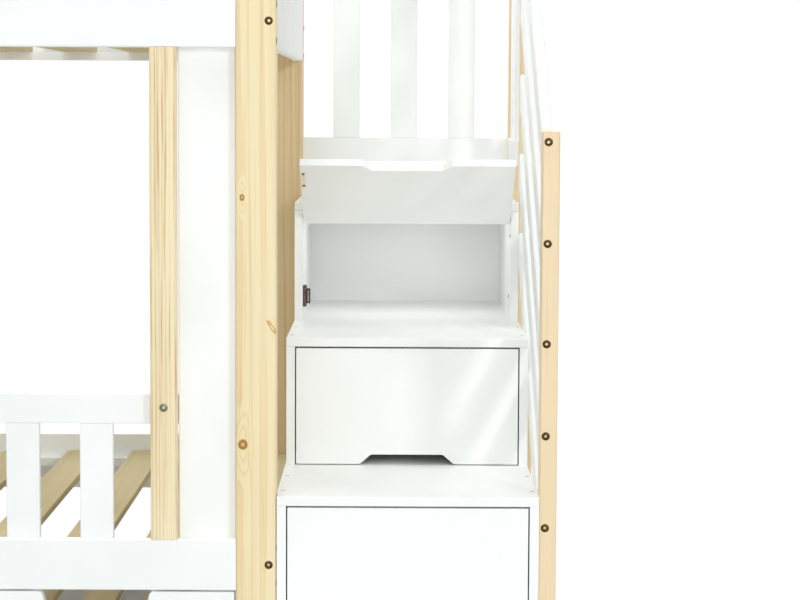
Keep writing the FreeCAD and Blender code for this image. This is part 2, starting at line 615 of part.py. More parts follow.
node(cut("flap_cut", body, bores), "flap_door")
pins = [rod("left_pin", "+X", (f"{LEFT_IN} + flap_gap + pin_in_flap - pin_length", PIVOT_Y,
                               PIVOT_Z), "pin_radius", "pin_length"),
        rod("right_pin", "-X", (f"{RIGHT_IN} - flap_gap - pin_in_flap + pin_length", PIVOT_Y,
                                PIVOT_Z), "pin_radius", "pin_length")]
node(together("flap_pins_group", pins), "flap_pivot_pins")

body, sketch = new_body("strike_body")
sketch.AttachmentOffset = FreeCAD.Placement(
    FreeCAD.Vector(0, 0, -number("flap_thick / 2 + strike_thick")), FreeCAD.Rotation())
sketch.setExpression("AttachmentOffset.Base.z", bound("0 - flap_thick / 2 - strike_thick"))
polygon(sketch, [("strike_inset", f"{FREE} + strike_lift"),
                 ("strike_inset + strike_width", f"{FREE} + strike_lift"),
                 ("strike_inset + strike_width", f"{FREE} + strike_lift + strike_height"),
                 ("strike_inset", f"{FREE} + strike_lift + strike_height")])
blank = pad(body, sketch, "strike_thick")
body.Tip = blank
place(body, f"{LEFT_IN} + flap_gap", PIVOT_Y, PIVOT_Z, flap_turn)
node(body, "flap_strike_plate")
CATCH_Y = "2 * tread_depth + flap_thick + catch_setback"
CATCH_Z = f"4 * riser - board_thick - flap_drop + {FREE} + catch_lift"
node(joined("catch_whole", [
    box("catch_plate_part", (LEFT_IN, CATCH_Y, CATCH_Z),
        ("catch_plate", "catch_depth", "catch_height")),
    box("catch_block_part", (LEFT_IN, CATCH_Y, f"{CATCH_Z} + (catch_height - catch_block) / 2"),
        ("catch_width", "catch_depth", "catch_block"))]), "magnetic_catch")

# ---------------------------------------------------------------- handrail

NEWEL_X = "stair_gap + stair_width"
SLOPE = "(riser / tread_depth)"
HALF_TALL = f"(hand_board_width * sqrt(1 + {SLOPE} * {SLOPE}) / 2)"
HAND_RUN = "(2 * tread_depth - newel_depth)"
hand_bolts = []
for i in range(1, 6):
    x = f"{NEWEL_X} + hand_board_thick / 2"
    far = f"hand_bolt_{i} - 2 * hand_bolt_rise + {SLOPE} * {HAND_RUN}"
    for tag, direction, y, z in (("low", "+Y", "0", f"hand_bolt_{i}"),
                                 ("top", "-Y", "2 * tread_depth + newel_depth", far)):
        at = (x, y, z)
        deep = moved(at, direction, "hand_bolt_length - nut_back")
        nut = ("-X", (f"{NEWEL_X} + hand_board_thick", deep[1], z))
        hand_bolts.append(Bolt(f"hand_{tag}_{i}", direction, at, "hand_bolt_length", nut))
for name, tall in (("front", "newel_short"), ("mid", "newel_tall"), ("rear", "newel_tall")):
    blank = board(f"{name}_newel", "Z", (NEWEL_X, NEWEL_Y[name], "0"),
                  ("newel_width", "newel_depth", tall), "post_ease")
    wanted = {"front": "low", "mid": "top"}.get(name)
    tools = [t for b in hand_bolts if wanted and f"_{wanted}_" in b.name
             for t in b.holes(f"{name}_newel")]
    tools += [t for s in SCREWS if s[0] == name for t in screw_holes(f"{name}_newel", s, False)]
    node(cut(f"{name}_newel_cut", blank, tools), f"handrail_{name}_post")

hand_boards = []
for i in range(1, 6):
    body, sketch = new_body(f"hand_board_{i}")
    middle = f"hand_bolt_{i} - hand_bolt_rise"
    polygon(sketch, [("0", f"{middle} - {HALF_TALL}"),
                     (HAND_RUN, f"{middle} - {HALF_TALL} + {SLOPE} * {HAND_RUN}"),
                     (HAND_RUN, f"{middle} + {HALF_TALL} + {SLOPE} * {HAND_RUN}"),
                     ("0", f"{middle} + {HALF_TALL}")])
    blank = pad(body, sketch, "hand_board_thick")
    ease_edges(body, blank, "hand_board_ease", lambda e: e.BoundBox.XLength > 100)
    place(body, NEWEL_X, "newel_depth", "0", TURN["+X"])
    tools = []
    for bolt in hand_bolts:
        if bolt.name.endswith(f"_{i}"):
            tools += [bolt.holes(f"hand_board_{i}")[1], bolt.nut_hole(f"hand_board_{i}")]
    hand_boards.append(cut(f"hand_board_{i}_cut", body, tools))
node(together("hand_boards_group", hand_boards), "handrail_boards")

# ---------------------------------------------------------------- guards beside the platform

BACK_Y = "bed_depth - stair_guard_setback - guard_thick"
LOW_BASE = "stair_guard_top - fence_rail_height"
SIDE_Y = "2 * tread_depth + newel_depth"
SIDE_RUN = "(bed_depth - 2 * newel_depth - 2 * tread_depth)"
stair_rails = []
for tag, z in (("low", LOW_BASE), ("top", "guard_rail_base")):
    stair_rails.append(board(f"stair_{tag}_back_rail", "X", ("0", BACK_Y, z),
                             (NEWEL_X, *GUARD), "guard_ease"))
    stair_rails.append(board(f"stair_{tag}_side_rail", "Y", (NEWEL_X, SIDE_Y, z),
                             ("guard_thick", SIDE_RUN, "fence_rail_height"), "guard_ease"))
node(together("stair_guard_rails_group", stair_rails), "stair_guard_rails")
SIDE_GAP = f"({SIDE_RUN} - picket_width * side_picket_count) / (side_picket_count + 1)"
PICKET_TALL = "guard_rail_base - stair_guard_top"
node(together("stair_guard_slats_group", [
    board("stair_back_picket", "Z", ("stair_picket_inset", BACK_Y, "stair_guard_top"),
          ("picket_width", "guard_thick", PICKET_TALL), "guard_ease",
          ("X", "stair_picket_pitch", "stair_picket_count")),
    board("stair_side_picket", "Z", (NEWEL_X, f"{SIDE_Y} + {SIDE_GAP}", "stair_guard_top"),
          ("guard_thick", "picket_width", PICKET_TALL), "guard_ease",
          ("Y", f"picket_width + {SIDE_GAP}", "side_picket_count"))]), "stair_guard_slats")

# ---------------------------------------------------------------- trundle bed

TRUNDLE_LEFT = "0 - bed_length + post_width + trundle_gap"
TRUNDLE_RUN = "(bed_length - 2 * post_width - 2 * trundle_gap)"
TALL = "(lower_rail_base - trundle_top_gap - trundle_base)"
FIRST = "(hold_inset - post_width - trundle_gap)"
holds = []
for start, end in ((f"{TRUNDLE_RUN} - {FIRST}", -1), (FIRST, 1)):
    sign = "-" if end < 0 else "+"
    slant = "(hold_base - hold_top) / 2"
    holds.append((start, TALL, f"{start} {sign} {slant}", f"{TALL} - hold_height",
                  f"{start} {sign} hold_base - ({sign}1) * {slant}",
                  f"{start} {sign} hold_base"))
body, sketch = new_body("trundle_front_body")
right, left = holds
polygon(sketch, [("0", "0"), (TRUNDLE_RUN, "0"), (TRUNDLE_RUN, TALL), (right[0], TALL),
                 (right[2], right[3]), (right[4], right[3]), (right[5], TALL), (left[5], TALL),
                 (left[4], left[3]), (left[2], left[3]), (left[0], TALL), ("0", TALL)])
blank = pad(body, sketch, "trundle_board")
ease_edges(body, blank, "hold_round", notch_corners(f"{TALL} - hold_height", TALL, TRUNDLE_RUN))
place(body, TRUNDLE_LEFT, "trundle_board", "trundle_base", TURN["-Y"])
node(body, "trundle_front")

SIDE_X = {"left": f"{TRUNDLE_LEFT} + trundle_side_inset",
          "right": f"{TRUNDLE_LEFT} + {TRUNDLE_RUN} - trundle_side_inset - trundle_board"}
BOX_RUN = f"({TRUNDLE_RUN} - 2 * trundle_side_inset - 2 * trundle_board)"
frame = [box(f"trundle_{tag}_side", (x, "trundle_board", "trundle_side_base"),
             ("trundle_board", "trundle_depth - trundle_board", "trundle_side_height"))
         for tag, x in SIDE_X.items()]
IN_X = f"{SIDE_X['left']} + trundle_board"
frame.append(box("trundle_rear", (IN_X, "trundle_depth - trundle_board", "trundle_side_base"),
                 (BOX_RUN, "trundle_board", "trundle_side_height")))
for tag, y in (("front", "trundle_board"), ("rear", "trundle_depth - 2 * trundle_board")):
    frame.append(box(f"trundle_{tag}_ledger", (IN_X, y, "trundle_ledger_top - ledger_height"),
                     (BOX_RUN, "trundle_board", "ledger_height")))
node(together("trundle_frame_group", frame), "trundle_frame")
TRUNDLE_PITCH = f"(({BOX_RUN} - 2 * slat_margin - slat_width) / (slat_count - 1))"
node(board("trundle_slat", "Y", (f"{IN_X} + slat_margin", "trundle_board + slat_play",
                                 "trundle_ledger_top"),
           ("slat_width", "trundle_depth - 2 * trundle_board - 2 * slat_play", "slat_thick"),
           "slat_ease", ("X", TRUNDLE_PITCH, "slat_count")), "trundle_slats")

CASTERS = []
for end in ("left", "right"):
    for side, y in (("front", "trundle_board + wheel_inset"),
                    ("rear", "trundle_depth - wheel_inset")):
        CASTERS.append((f"{side}_{end}", f"{SIDE_X[end]} + trundle_board / 2", y))
forks = []
REACH = "(wheel_width / 2 + fork_play + fork_thick)"
for i, (tag, x, y) in enumerate(CASTERS, start=1):
    plate = box(f"fork_plate_{i}", (f"{x} - {REACH}", f"{y} - fork_depth / 2",
                                    "trundle_side_base - fork_plate"),
                (f"2 * {REACH}", "fork_depth", "fork_plate"))
    cheeks = [box(f"fork_{side}_{i}", (f"{x} {offset}", f"{y} - wheel_radius / 2",
                                       "wheel_radius - 2 * axle_radius"),
                  ("fork_thick", "wheel_radius", "trundle_side_base - fork_plate"
                   " - wheel_radius + 2 * axle_radius"))
              for side, offset in (("left", f"- {REACH}"),
                                   ("right", f"+ {REACH} - fork_thick"))]
    axle = rod(f"axle_{i}", "+X", (f"{x} - {REACH} - 1", y, "wheel_radius"), "axle_radius",
               f"2 * {REACH} + 2")
    forks.append(joined(f"fork_{i}", [plate, *cheeks, axle]))
    disc = rod(f"wheel_{i}_disc", "+X", (f"{x} - wheel_width / 2", y, "wheel_radius"),
               "wheel_radius", "wheel_width")
    DOC.recompute()
    rounded = DOC.addObject("Part::Fillet", f"wheel_{i}_round")
    rounded.Base = disc
    turn = number("wheel_round")
    rounded.Edges = [(k, turn, turn) for k, e in enumerate(disc.Shape.Edges, start=1)
                     if len(e.Vertexes) == 1]
    node(cut(f"wheel_{i}_cut", rounded, [rod(f"wheel_{i}_bore", "+X", (
        f"{x} - wheel_width", y, "wheel_radius"), "axle_radius + axle_play",
        "2 * wheel_width")]), f"trundle_wheel_{i}")
node(together("casters_group", forks), "trundle_casters")

# ---------------------------------------------------------------- fasteners


def master_bolt(name, length):
    """Socket bolt along +Z whose head stands proud of the surface at z = 0."""
    head = DOC.addObject("Part::Cylinder", name + "_head")
    head.setExpression("Radius", bound("bolt_head_radius"))
    head.setExpression("Height", bound("bolt_head"))
    shank = DOC.addObject("Part::Cylinder", name + "_shank")
    shank.setExpression("Radius", bound("bolt_radius"))
    shank.setExpression("Height", bound(f"{length} + bolt_proud"))
    for part in (head, shank):
        part.setExpression("Placement.Base.z", bound("0 - bolt_proud"))
    whole = joined(name + "_whole", [head, shank])
    socket = DOC.addObject("Part::Prism", name + "_socket")
    socket.Polygon = 6
    socket.setExpression("Circumradius", bound("socket_radius"))
    socket.setExpression("Height", bound("socket_depth + 1"))
    socket.setExpression("Placement.Base.z", bound("0 - bolt_proud - 1"))
    return cut(name, whole, [socket])


def nut_with_bore(name, bolt):
    """Barrel nut of one bolt, with the hole that the bolt screws into."""
    direction, start = bolt.nut
    barrel = rod(name + "_barrel", direction, start, "nut_radius", "nut_length")
    bore = rod(name + "_bore", bolt.direction, bolt.at, "bolt_radius", f"{bolt.length} + 20")
    return cut(name, barrel, [bore])


long_bolt = master_bolt("long_bolt", "bolt_length")
hand_bolt = master_bolt("hand_bolt", "hand_bolt_length")
batten_bolt = master_bolt("batten_bolt", "batten_bolt_length")
bolts, nuts = [], []
for (end, side), group in CORNERS.items():
    for bolt in group:
        tag = f"{side}_{end}_{bolt.name}"
        bolts.append(copy_of(tag + "_bolt", long_bolt, bolt.direction, bolt.at))
        nuts.append(nut_with_bore(tag + "_nut", bolt))
for bolt in hand_bolts:
    bolts.append(copy_of(bolt.name + "_bolt", hand_bolt, bolt.direction, bolt.at))
    nuts.append(nut_with_bore(bolt.name + "_nut", bolt))
bolts.append(copy_of("batten_bolt_set", batten_bolt, BATTEN_BOLT.direction, BATTEN_BOLT.at))
node(together("post_bolts_group", bolts), "post_bolts")
node(together("barrel_nuts_group", nuts), "barrel_nuts")

screw_head = DOC.addObject("Part::Cylinder", "screw_head_part")
screw_head.setExpression("Radius", bound("screw_head_radius"))
screw_head.setExpression("Height", bound("screw_head"))
screw_shank = DOC.addObject("Part::Cylinder", "screw_shank_part")
screw_shank.setExpression("Radius", bound("screw_radius"))
screw_shank.setExpression("Height", bound("screw_length"))
screw = joined("screw", [screw_head, screw_shank])
node(together("stair_screws_group", [
    copy_of(f"screw_{k}", screw, entry[3], entry[4]) for k, entry in enumerate(SCREWS)]),
    "tread_screws")

# ---------------------------------------------------------------- checks and files

DOC.recompute()
faults = [f"{item.Name} ({item.Label}): {item.State}" for item in DOC.Objects
          if "Invalid" in item.State or "Error" in item.State]
for item in NODES:
    if item.Shape.isNull() or not item.Shape.isValid() or item.Shape.Volume <= 0:
        faults.append(f"{item.Label}: bad shape")
if faults:
    raise RuntimeError("the model did not build: " + "; ".join(faults))
labels = [item.Label for item in NODES]
if len(set(labels)) != len(labels):
    raise RuntimeError("two sub-parts share a name")

os.makedirs("parts", exist_ok=True)
for item in NODES:
    item.Shape.exportStep(f"parts/{item.Label}.step")
    print(f"{item.Label}: {len(item.Shape.Solids)} solids, {item.Shape.Volume / 1000:.0f} cm3")
print(len(NODES), "sub-parts")
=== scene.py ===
"""Looks of a bunk bed with a storage staircase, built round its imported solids.

Lengths are metres in the part's own frame: +X towards the stairs, +Y to the rear, +Z up.  Positions
are first written in the bed's corner frame, in millimetres, whose x = 0 is the bed's stair-side end
plane, y = 0 its front plane and z = 0 the floor; at() carries them over.
"""

from __future__ import annotations

import logging
import math
from dataclasses import dataclass
from enum import Enum

import bmesh
import bpy
from mathutils import Matrix, Vector


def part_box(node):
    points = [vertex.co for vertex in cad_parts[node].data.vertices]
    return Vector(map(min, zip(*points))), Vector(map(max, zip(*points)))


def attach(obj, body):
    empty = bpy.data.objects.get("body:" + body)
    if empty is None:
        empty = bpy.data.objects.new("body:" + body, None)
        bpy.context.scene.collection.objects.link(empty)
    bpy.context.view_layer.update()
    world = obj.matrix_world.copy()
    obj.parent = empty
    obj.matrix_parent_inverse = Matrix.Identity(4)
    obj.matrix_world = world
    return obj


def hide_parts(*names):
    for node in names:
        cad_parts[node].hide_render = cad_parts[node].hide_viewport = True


Node, Socket = bpy.types.Node, bpy.types.NodeSocket
Material, Mesh = bpy.types.Material, bpy.types.Mesh
Triple = tuple[float, float, float]
Colour = tuple[float, float, float, float]

LOG = logging.getLogger("bunk_bed")
MIX_COLOUR_INPUTS = (0, 6, 7)  # a Mix node's sockets for the factor and the two colours
MIX_COLOUR_RESULT = 2
CREASE = math.radians(32.0)  # edges sharper than this stay sharp in the shading
SNUG = 0.98  # share of a hole's or a rod's radius that the piece fitted in it takes
RIGHTWARDS = Vector((1.0, 0.0, 0.0))
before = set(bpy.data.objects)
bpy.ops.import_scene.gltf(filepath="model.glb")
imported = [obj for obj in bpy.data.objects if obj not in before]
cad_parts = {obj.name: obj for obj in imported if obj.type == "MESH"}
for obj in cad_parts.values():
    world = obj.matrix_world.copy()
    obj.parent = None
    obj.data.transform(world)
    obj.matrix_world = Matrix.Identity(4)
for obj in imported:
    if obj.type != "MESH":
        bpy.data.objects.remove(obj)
POST_LOW, POST_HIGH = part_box("front_right_post")
CORNER = Vector((POST_HIGH[0], POST_LOW[1], 0.0))


def at(x: float, y: float, z: float) -> Vector:
    """Point of the bed's corner frame, in millimetres, as a point of the part's frame in metres.

    Args:
        x: distance from the bed's stair-side end plane, towards the stairs.
        y: distance behind the bed's front plane.
        z: height over the floor.

    Returns:
        The point in metres.
    """
    return Vector((x, y, z)) / 1000.0 + CORNER


def corners(node: str) -> tuple[Vector, Vector]:
    """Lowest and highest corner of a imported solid, in the bed's corner frame, in millimetres."""
    return tuple((Vector(corner) - CORNER) * 1000.0 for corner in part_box(node))


def stand(name: str, data: bpy.types.ID) -> bpy.types.Object:
    """New object of a mesh, lamp or camera, in the scene."""
    thing = bpy.data.objects.new(name, data)
    bpy.context.scene.collection.objects.link(thing)
    return thing


class Axis(Enum):
    """Direction that a board's grain runs in."""

    X = 0
    Y = 1
    Z = 2


# ---- node trees


class Tree:
    """Short hand for writing a node tree."""

    def __init__(self, tree: bpy.types.NodeTree) -> None:
        """Keep the tree that nodes are added to."""
        self.tree = tree

    @classmethod
    def of(cls, owner: bpy.types.ID) -> Tree:
        """Emptied shader tree of a material or of a world."""
        owner.use_nodes = True
        owner.node_tree.nodes.clear()
        return cls(owner.node_tree)

    def add(self, kind: str, settings: dict | None = None, **values: object) -> Node:
        """Add a node.

        Args:
            kind: the node's type name.
            settings: attributes of the node itself.
            **values: inputs by name, underscores for blanks, as sockets or plain values.

        Returns:
            The new node.
        """
        node = self.tree.nodes.new(kind)
        for name, value in (settings or {}).items():
            setattr(node, name, value)
        for name, value in values.items():
            self.put(node, name.replace("_", " "), value)
        return node

    def put(self, node: Node, key: str | int, value: object) -> None:
        """Link a socket to a node's input, or write a plain value on it."""
        sockets = node.inputs
        socket = sockets[key] if isinstance(key, int) else sockets.get(key) or sockets[key]
        if isinstance(value, Socket):
            self.tree.links.new(value, socket)
        else:
            socket.default_value = value

    def fed(self, node: Node, *terms: object) -> Node:
        """Put terms on a node's inputs, in order."""
        for index, term in enumerate(terms):
            self.put(node, index, term)
        return node

    def math(self, operation: str, *terms: object, clamp: bool = False) -> Socket:
        """Arithmetic on sockets or numbers, returning the result's socket."""
        node = self.add("ShaderNodeMath", {"operation": operation, "use_clamp": clamp})
        return self.fed(node, *terms).outputs[0]

    def times(self, first: object, second: object) -> Socket:
        """Product of two sockets or numbers."""
        return self.math("MULTIPLY", first, second)

    def vector(self, operation: str, *terms: object) -> Socket:
        """Vector arithmetic on sockets or tuples, returning the result's socket."""
        node = self.fed(self.add("ShaderNodeVectorMath", {"operation": operation}), *terms)
        return node.outputs["Value" if operation == "LENGTH" else "Vector"]

    def mix(self, factor: object, first: object, second: object) -> Socket:
        """Blend two colours by a factor, returning the colour's socket."""
        node = self.add("ShaderNodeMix", {"data_type": "RGBA"})
        for index, term in zip(MIX_COLOUR_INPUTS, (factor, first, second)):
            self.put(node, index, term)
        return node.outputs[MIX_COLOUR_RESULT]

    def remap(self, value: object, low: float, high: float, start: float, end: float) -> Socket:
        """Carry a value from one range to another, smoothly and within limits."""
        node = self.add("ShaderNodeMapRange", {"interpolation_type": "SMOOTHSTEP"})
        return self.fed(node, value, low, high, start, end).outputs[0]

    def noise(self, place: object, scale: float, detail: float = 2.0,
              rough: float = 0.5) -> Socket:
        """Noise of a given scale at a place, returning the value's socket."""
        return self.add("ShaderNodeTexNoise", None, Vector=place, Scale=scale, Detail=detail,
                        Roughness=rough).outputs[0]


def srgb(red: int, green: int, blue: int) -> Colour:
    """Colour given as it shows on a screen, 0 to 255, in scene-linear values."""
    def channel(value: int) -> float:
        """One of the three, in linear values."""
        share = value / 255.0
        return share / 12.92 if share <= 0.04045 else ((share + 0.055) / 1.055) ** 2.4
    return (channel(red), channel(green), channel(blue), 1.0)


# ---- finishes


@dataclass(frozen=True)
class Finish:
    """A surface finish: builds one material with its own node tree."""

    name: str

    def build(self) -> Material:
        """Make the material.

        Returns:
            A material with its shader joined to the output.
        """
        material = bpy.data.materials.new(self.name)
        nodes = Tree.of(material)
        shader = nodes.add("ShaderNodeBsdfPrincipled")
        nodes.put(nodes.add("ShaderNodeOutputMaterial"), 0, shader.outputs[0])
        self.dress(nodes, shader, nodes.add("ShaderNodeTexCoord").outputs["Object"])
        return material

    def dress(self, nodes: Tree, shader: Node, place: Socket) -> None:
        """Set up the shader's inputs; each finish does its own."""
        raise NotImplementedError

    @staticmethod
    def surface(nodes: Tree, shader: Node, colour: object, roughness: object,
                height: object, strength: float, depth: float) -> None:
        """Join a colour, a roughness and a relief to the shader.

        Args:
            nodes: the finish's tree.
            shader: the shader to set up.
            colour: socket of the colour.
            roughness: socket of the roughness.
            height: socket of the relief's height, 0 to 1.
            strength: how much of the relief shows.
            depth: height of the relief in metres.
        """
        nodes.put(shader, "Base Color", colour)
        nodes.put(shader, "Roughness", roughness)
        bump = nodes.add("ShaderNodeBump", None, Strength=strength, Distance=depth, Height=height)
        nodes.put(shader, "Normal", bump.outputs[0])

    @staticmethod
    def around(nodes: Tree, value: object, middle: float, under: float, over: float) -> Socket:
        """Value that a noise carries from just under to just over a middle."""
        return nodes.remap(value, 0.3, 0.7, middle - under, middle + over)


@dataclass(frozen=True)
class Knot:
    """A knot on the face of a board.

    Attributes:
        spot: centre in the part's frame, metres.
        radius: radius of the heart across the grain, metres.
        lean: how much longer the knot is along the grain than across.
        turn: angle of a slanted knot from the upright, about the front's normal, degrees.
        heart: how strongly the heart is filled; a knot cut along its length shows only its rim.
    """

    spot: Triple
    radius: float
    lean: float
    turn: float = 0.0
    heart: float = 0.85


@dataclass(frozen=True)
class Wood(Finish):
    """Anything on wood, whose grain runs one way."""

    grain: Axis

    def along(self, share: float) -> Triple:
        """Scale that keeps the two directions across the grain and shortens the one along it."""
        return tuple(share if axis is self.grain else 1.0 for axis in Axis)


@dataclass(frozen=True)
class Pine(Wood):
    """Clear varnished pine with uneven growth lines, fibres and knots."""

    pith: Triple
    light: Colour = srgb(244, 226, 182)
    dark: Colour = srgb(219, 182, 122)
    heart: Colour = srgb(216, 160, 78)
    rim: Colour = srgb(158, 102, 24)
    halo: Colour = srgb(246, 222, 160)
    rings: float = 95.0
    wander: float = 1.6
    ring_weight: float = 0.30
    line_weight: float = 0.45
    line_scale: float = 260.0
    fibre_scale: float = 1400.0
    cloud_weight: float = 0.16
    cloud_scale: float = 22.0
    knots: tuple[Knot, ...] = ()
    seed: float = 0.0
    roughness: float = 0.42
    coat: float = 0.12
    gloss: float = 0.5

    def round_knots(self, nodes: Tree,
                    place: Socket) -> tuple[object, list[tuple[Knot, Socket]]]:
        """How far the lines swerve at a place, and how far it is from every knot.

        Args:
            nodes: the finish's tree.
            place: socket of the place.

        Returns:
            The swerve, and each knot with the distance from it in its own radii.
        """
        bent: object = 0.0
        marks = []
        for knot in self.knots:
            gap = nodes.vector("SUBTRACT", place, knot.spot)
            away = nodes.vector("LENGTH", nodes.vector("MULTIPLY", gap, self.along(0.26)))
            push = 0.8 if knot.turn else 2.2
            bent = nodes.math("ADD", bent, nodes.remap(away, 0.0, knot.radius * 3.2, push, 0.0))
            if knot.turn:
                gap = nodes.add("ShaderNodeVectorRotate", {"rotation_type": "AXIS_ANGLE"},
                                Vector=gap, Axis=(0.0, 1.0, 0.0),
                                Angle=math.radians(knot.turn)).outputs[0]
            gap = nodes.vector("MULTIPLY", gap, self.along(1.0 / knot.lean))
            rough = nodes.times(nodes.noise(place, 420.0), 0.5 * knot.radius)
            far = nodes.math("ADD", nodes.vector("LENGTH", gap), rough)
            marks.append((knot, nodes.math("DIVIDE", far, knot.radius * 1.25)))
        return bent, marks

    def dress(self, nodes: Tree, shader: Node, place: Socket) -> None:
        """Rings about a pith line and straight uneven lines, both bent round the knots."""
        spread = nodes.vector("ADD", place, (self.seed, self.seed * 0.37, self.seed * 0.71))
        bent, marks = self.round_knots(nodes, place)
        radius = nodes.vector("LENGTH", nodes.vector(
            "MULTIPLY", nodes.vector("SUBTRACT", place, self.pith), self.along(0.0)))
        stretched = nodes.vector("MULTIPLY", spread, self.along(0.07))
        straight = nodes.vector("MULTIPLY", spread, self.along(0.010))
        if self.knots:
            push = nodes.add("ShaderNodeCombineXYZ", None, X=bent).outputs[0]
            aside = nodes.vector("MULTIPLY", push, (0.004, 0.0, 0.0))
            straight = nodes.vector("ADD", straight, aside)
        sway = nodes.times(nodes.noise(stretched, 9.0, 3.0, 0.55), self.wander)
        uneven = nodes.times(nodes.noise(straight, 30.0), 4.0)
        phase = nodes.math("ADD", nodes.times(radius, self.rings),
                           nodes.math("ADD", sway, uneven))
        saw = nodes.math("FRACT", nodes.math("ADD", phase, bent))
        late = nodes.times(nodes.remap(saw, 0.45, 0.9, 0.0, 1.0),
                           nodes.remap(saw, 0.92, 1.0, 1.0, 0.0))
        lines = nodes.remap(nodes.noise(straight, self.line_scale, 4.0, 0.62), 0.50, 0.74, 0.0, 1.0)
        fine = nodes.noise(straight, self.fibre_scale)
        broad = nodes.noise(stretched, self.cloud_scale)
        share = nodes.times(late, self.ring_weight)
        share = nodes.math("ADD", share, nodes.times(lines, self.line_weight))
        share = nodes.math("ADD", share, nodes.remap(fine, 0.35, 0.75, -0.03, 0.07))
        share = nodes.math("ADD", share, self.around(nodes, broad, 0.0, self.cloud_weight,
                                                     self.cloud_weight), clamp=True)
        wood = nodes.mix(share, self.light, self.dark)
        for knot, far in marks:
            halo = nodes.remap(far, 0.9, 2.6, 0.45 * knot.heart, 0.0)
            rim = nodes.times(nodes.remap(far, 0.45, 0.8, 0.0, 1.0),
                              nodes.remap(far, 0.95, 1.4, 1.0, 0.0))
            wood = nodes.mix(halo, wood, self.halo)
            wood = nodes.mix(nodes.remap(far, 0.6, 1.1, knot.heart, 0.0), wood, self.heart)
            wood = nodes.mix(rim, wood, self.rim if knot.heart > 0.5 else self.heart)
        height = nodes.math("ADD", nodes.times(fine, 0.5), nodes.times(lines, -0.3))
        self.surface(nodes, shader, wood, self.around(nodes, fine, self.roughness, 0.05, 0.07),
                     height, 0.12, 0.0004)
        nodes.put(shader, "Specular IOR Level", self.gloss)
        nodes.put(shader, "Coat Weight", self.coat)
        nodes.put(shader, "Coat Roughness", 0.3)


@dataclass(frozen=True)
class Paint(Wood):
    """White satin paint on solid wood, its grain just telegraphing through."""

    colour: Colour = srgb(251, 252, 250)
    shade: Colour = srgb(247, 248, 246)
    roughness: float = 0.42
    relief: float = 0.1

    def dress(self, nodes: Tree, shader: Node, place: Socket) -> None:
        """Two close whites, a brushed relief along the grain and a fine stipple."""
        grain = nodes.noise(nodes.vector("MULTIPLY", place, self.along(0.03)), 420.0, 3.0, 0.6)
        clouds = nodes.noise(place, 7.0)
        stipple = nodes.noise(place, 900.0, 1.0)
        height = nodes.math("ADD", nodes.times(grain, 0.7), nodes.times(stipple, 0.3))
        colour = nodes.mix(self.around(nodes, clouds, 0.5, 0.5, 0.5), self.colour, self.shade)
        self.surface(nodes, shader, colour, self.around(nodes, clouds, self.roughness, 0.05, 0.06),
                     height, self.relief, 0.0003)


@dataclass(frozen=True)
class Metal(Finish):
    """Plated metal with a mottled colour."""

    colour: Colour
    dark: Colour
    roughness: float = 0.38
    grain_scale: float = 2700.0

    def dress(self, nodes: Tree, shader: Node, place: Socket) -> None:
        """Cloudy plating over a fine grain."""
        clouds = nodes.noise(place, 260.0, 3.0, 0.6)
        colour = nodes.mix(nodes.remap(clouds, 0.35, 0.7, 0.0, 1.0), self.colour, self.dark)
        nodes.put(shader, "Metallic", 1.0)
        self.surface(nodes, shader, colour, self.around(nodes, clouds, self.roughness, 0.08, 0.12),
                     nodes.noise(place, self.grain_scale), 0.15, 0.0001)


@dataclass(frozen=True)
class Plastic(Finish):
    """Moulded plastic with a fine stipple."""

    colour: Colour
    shade: Colour
    roughness: float = 0.45

    def dress(self, nodes: Tree, shader: Node, place: Socket) -> None:
        """Slightly uneven colour and a stippled surface."""
        clouds = nodes.noise(place, 120.0)
        stipple = nodes.noise(place, 2600.0, 1.0)
        colour = nodes.mix(self.around(nodes, clouds, 0.5, 0.5, 0.5), self.colour, self.shade)
        self.surface(nodes, shader, colour, self.around(nodes, stipple, self.roughness, 0.05, 0.08),
                     stipple, 0.2, 0.0001)


# ---- pieces


def publish(mesh: Mesh, body: str, slot: str, *nodes: str) -> None:
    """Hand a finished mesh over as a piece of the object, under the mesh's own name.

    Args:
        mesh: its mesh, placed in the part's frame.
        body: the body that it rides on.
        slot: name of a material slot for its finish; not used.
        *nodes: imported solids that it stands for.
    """
    piece = stand(mesh.name, mesh)
    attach(piece, body)
    if nodes:
        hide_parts(*nodes)
    LOG.info("made %s: %d faces", mesh.name, len(mesh.polygons))


@dataclass(frozen=True)
class Stud:
    """Where one fastener stands.

    Attributes:
        spot: point on the surface that it is driven into, in the bed's corner frame.
        aim: direction that it is driven in.
        run: length of its shank under that surface, millimetres.
        finish: index of its head's finish.
    """

    spot: Triple
    aim: Triple
    run: float
    finish: int = 0


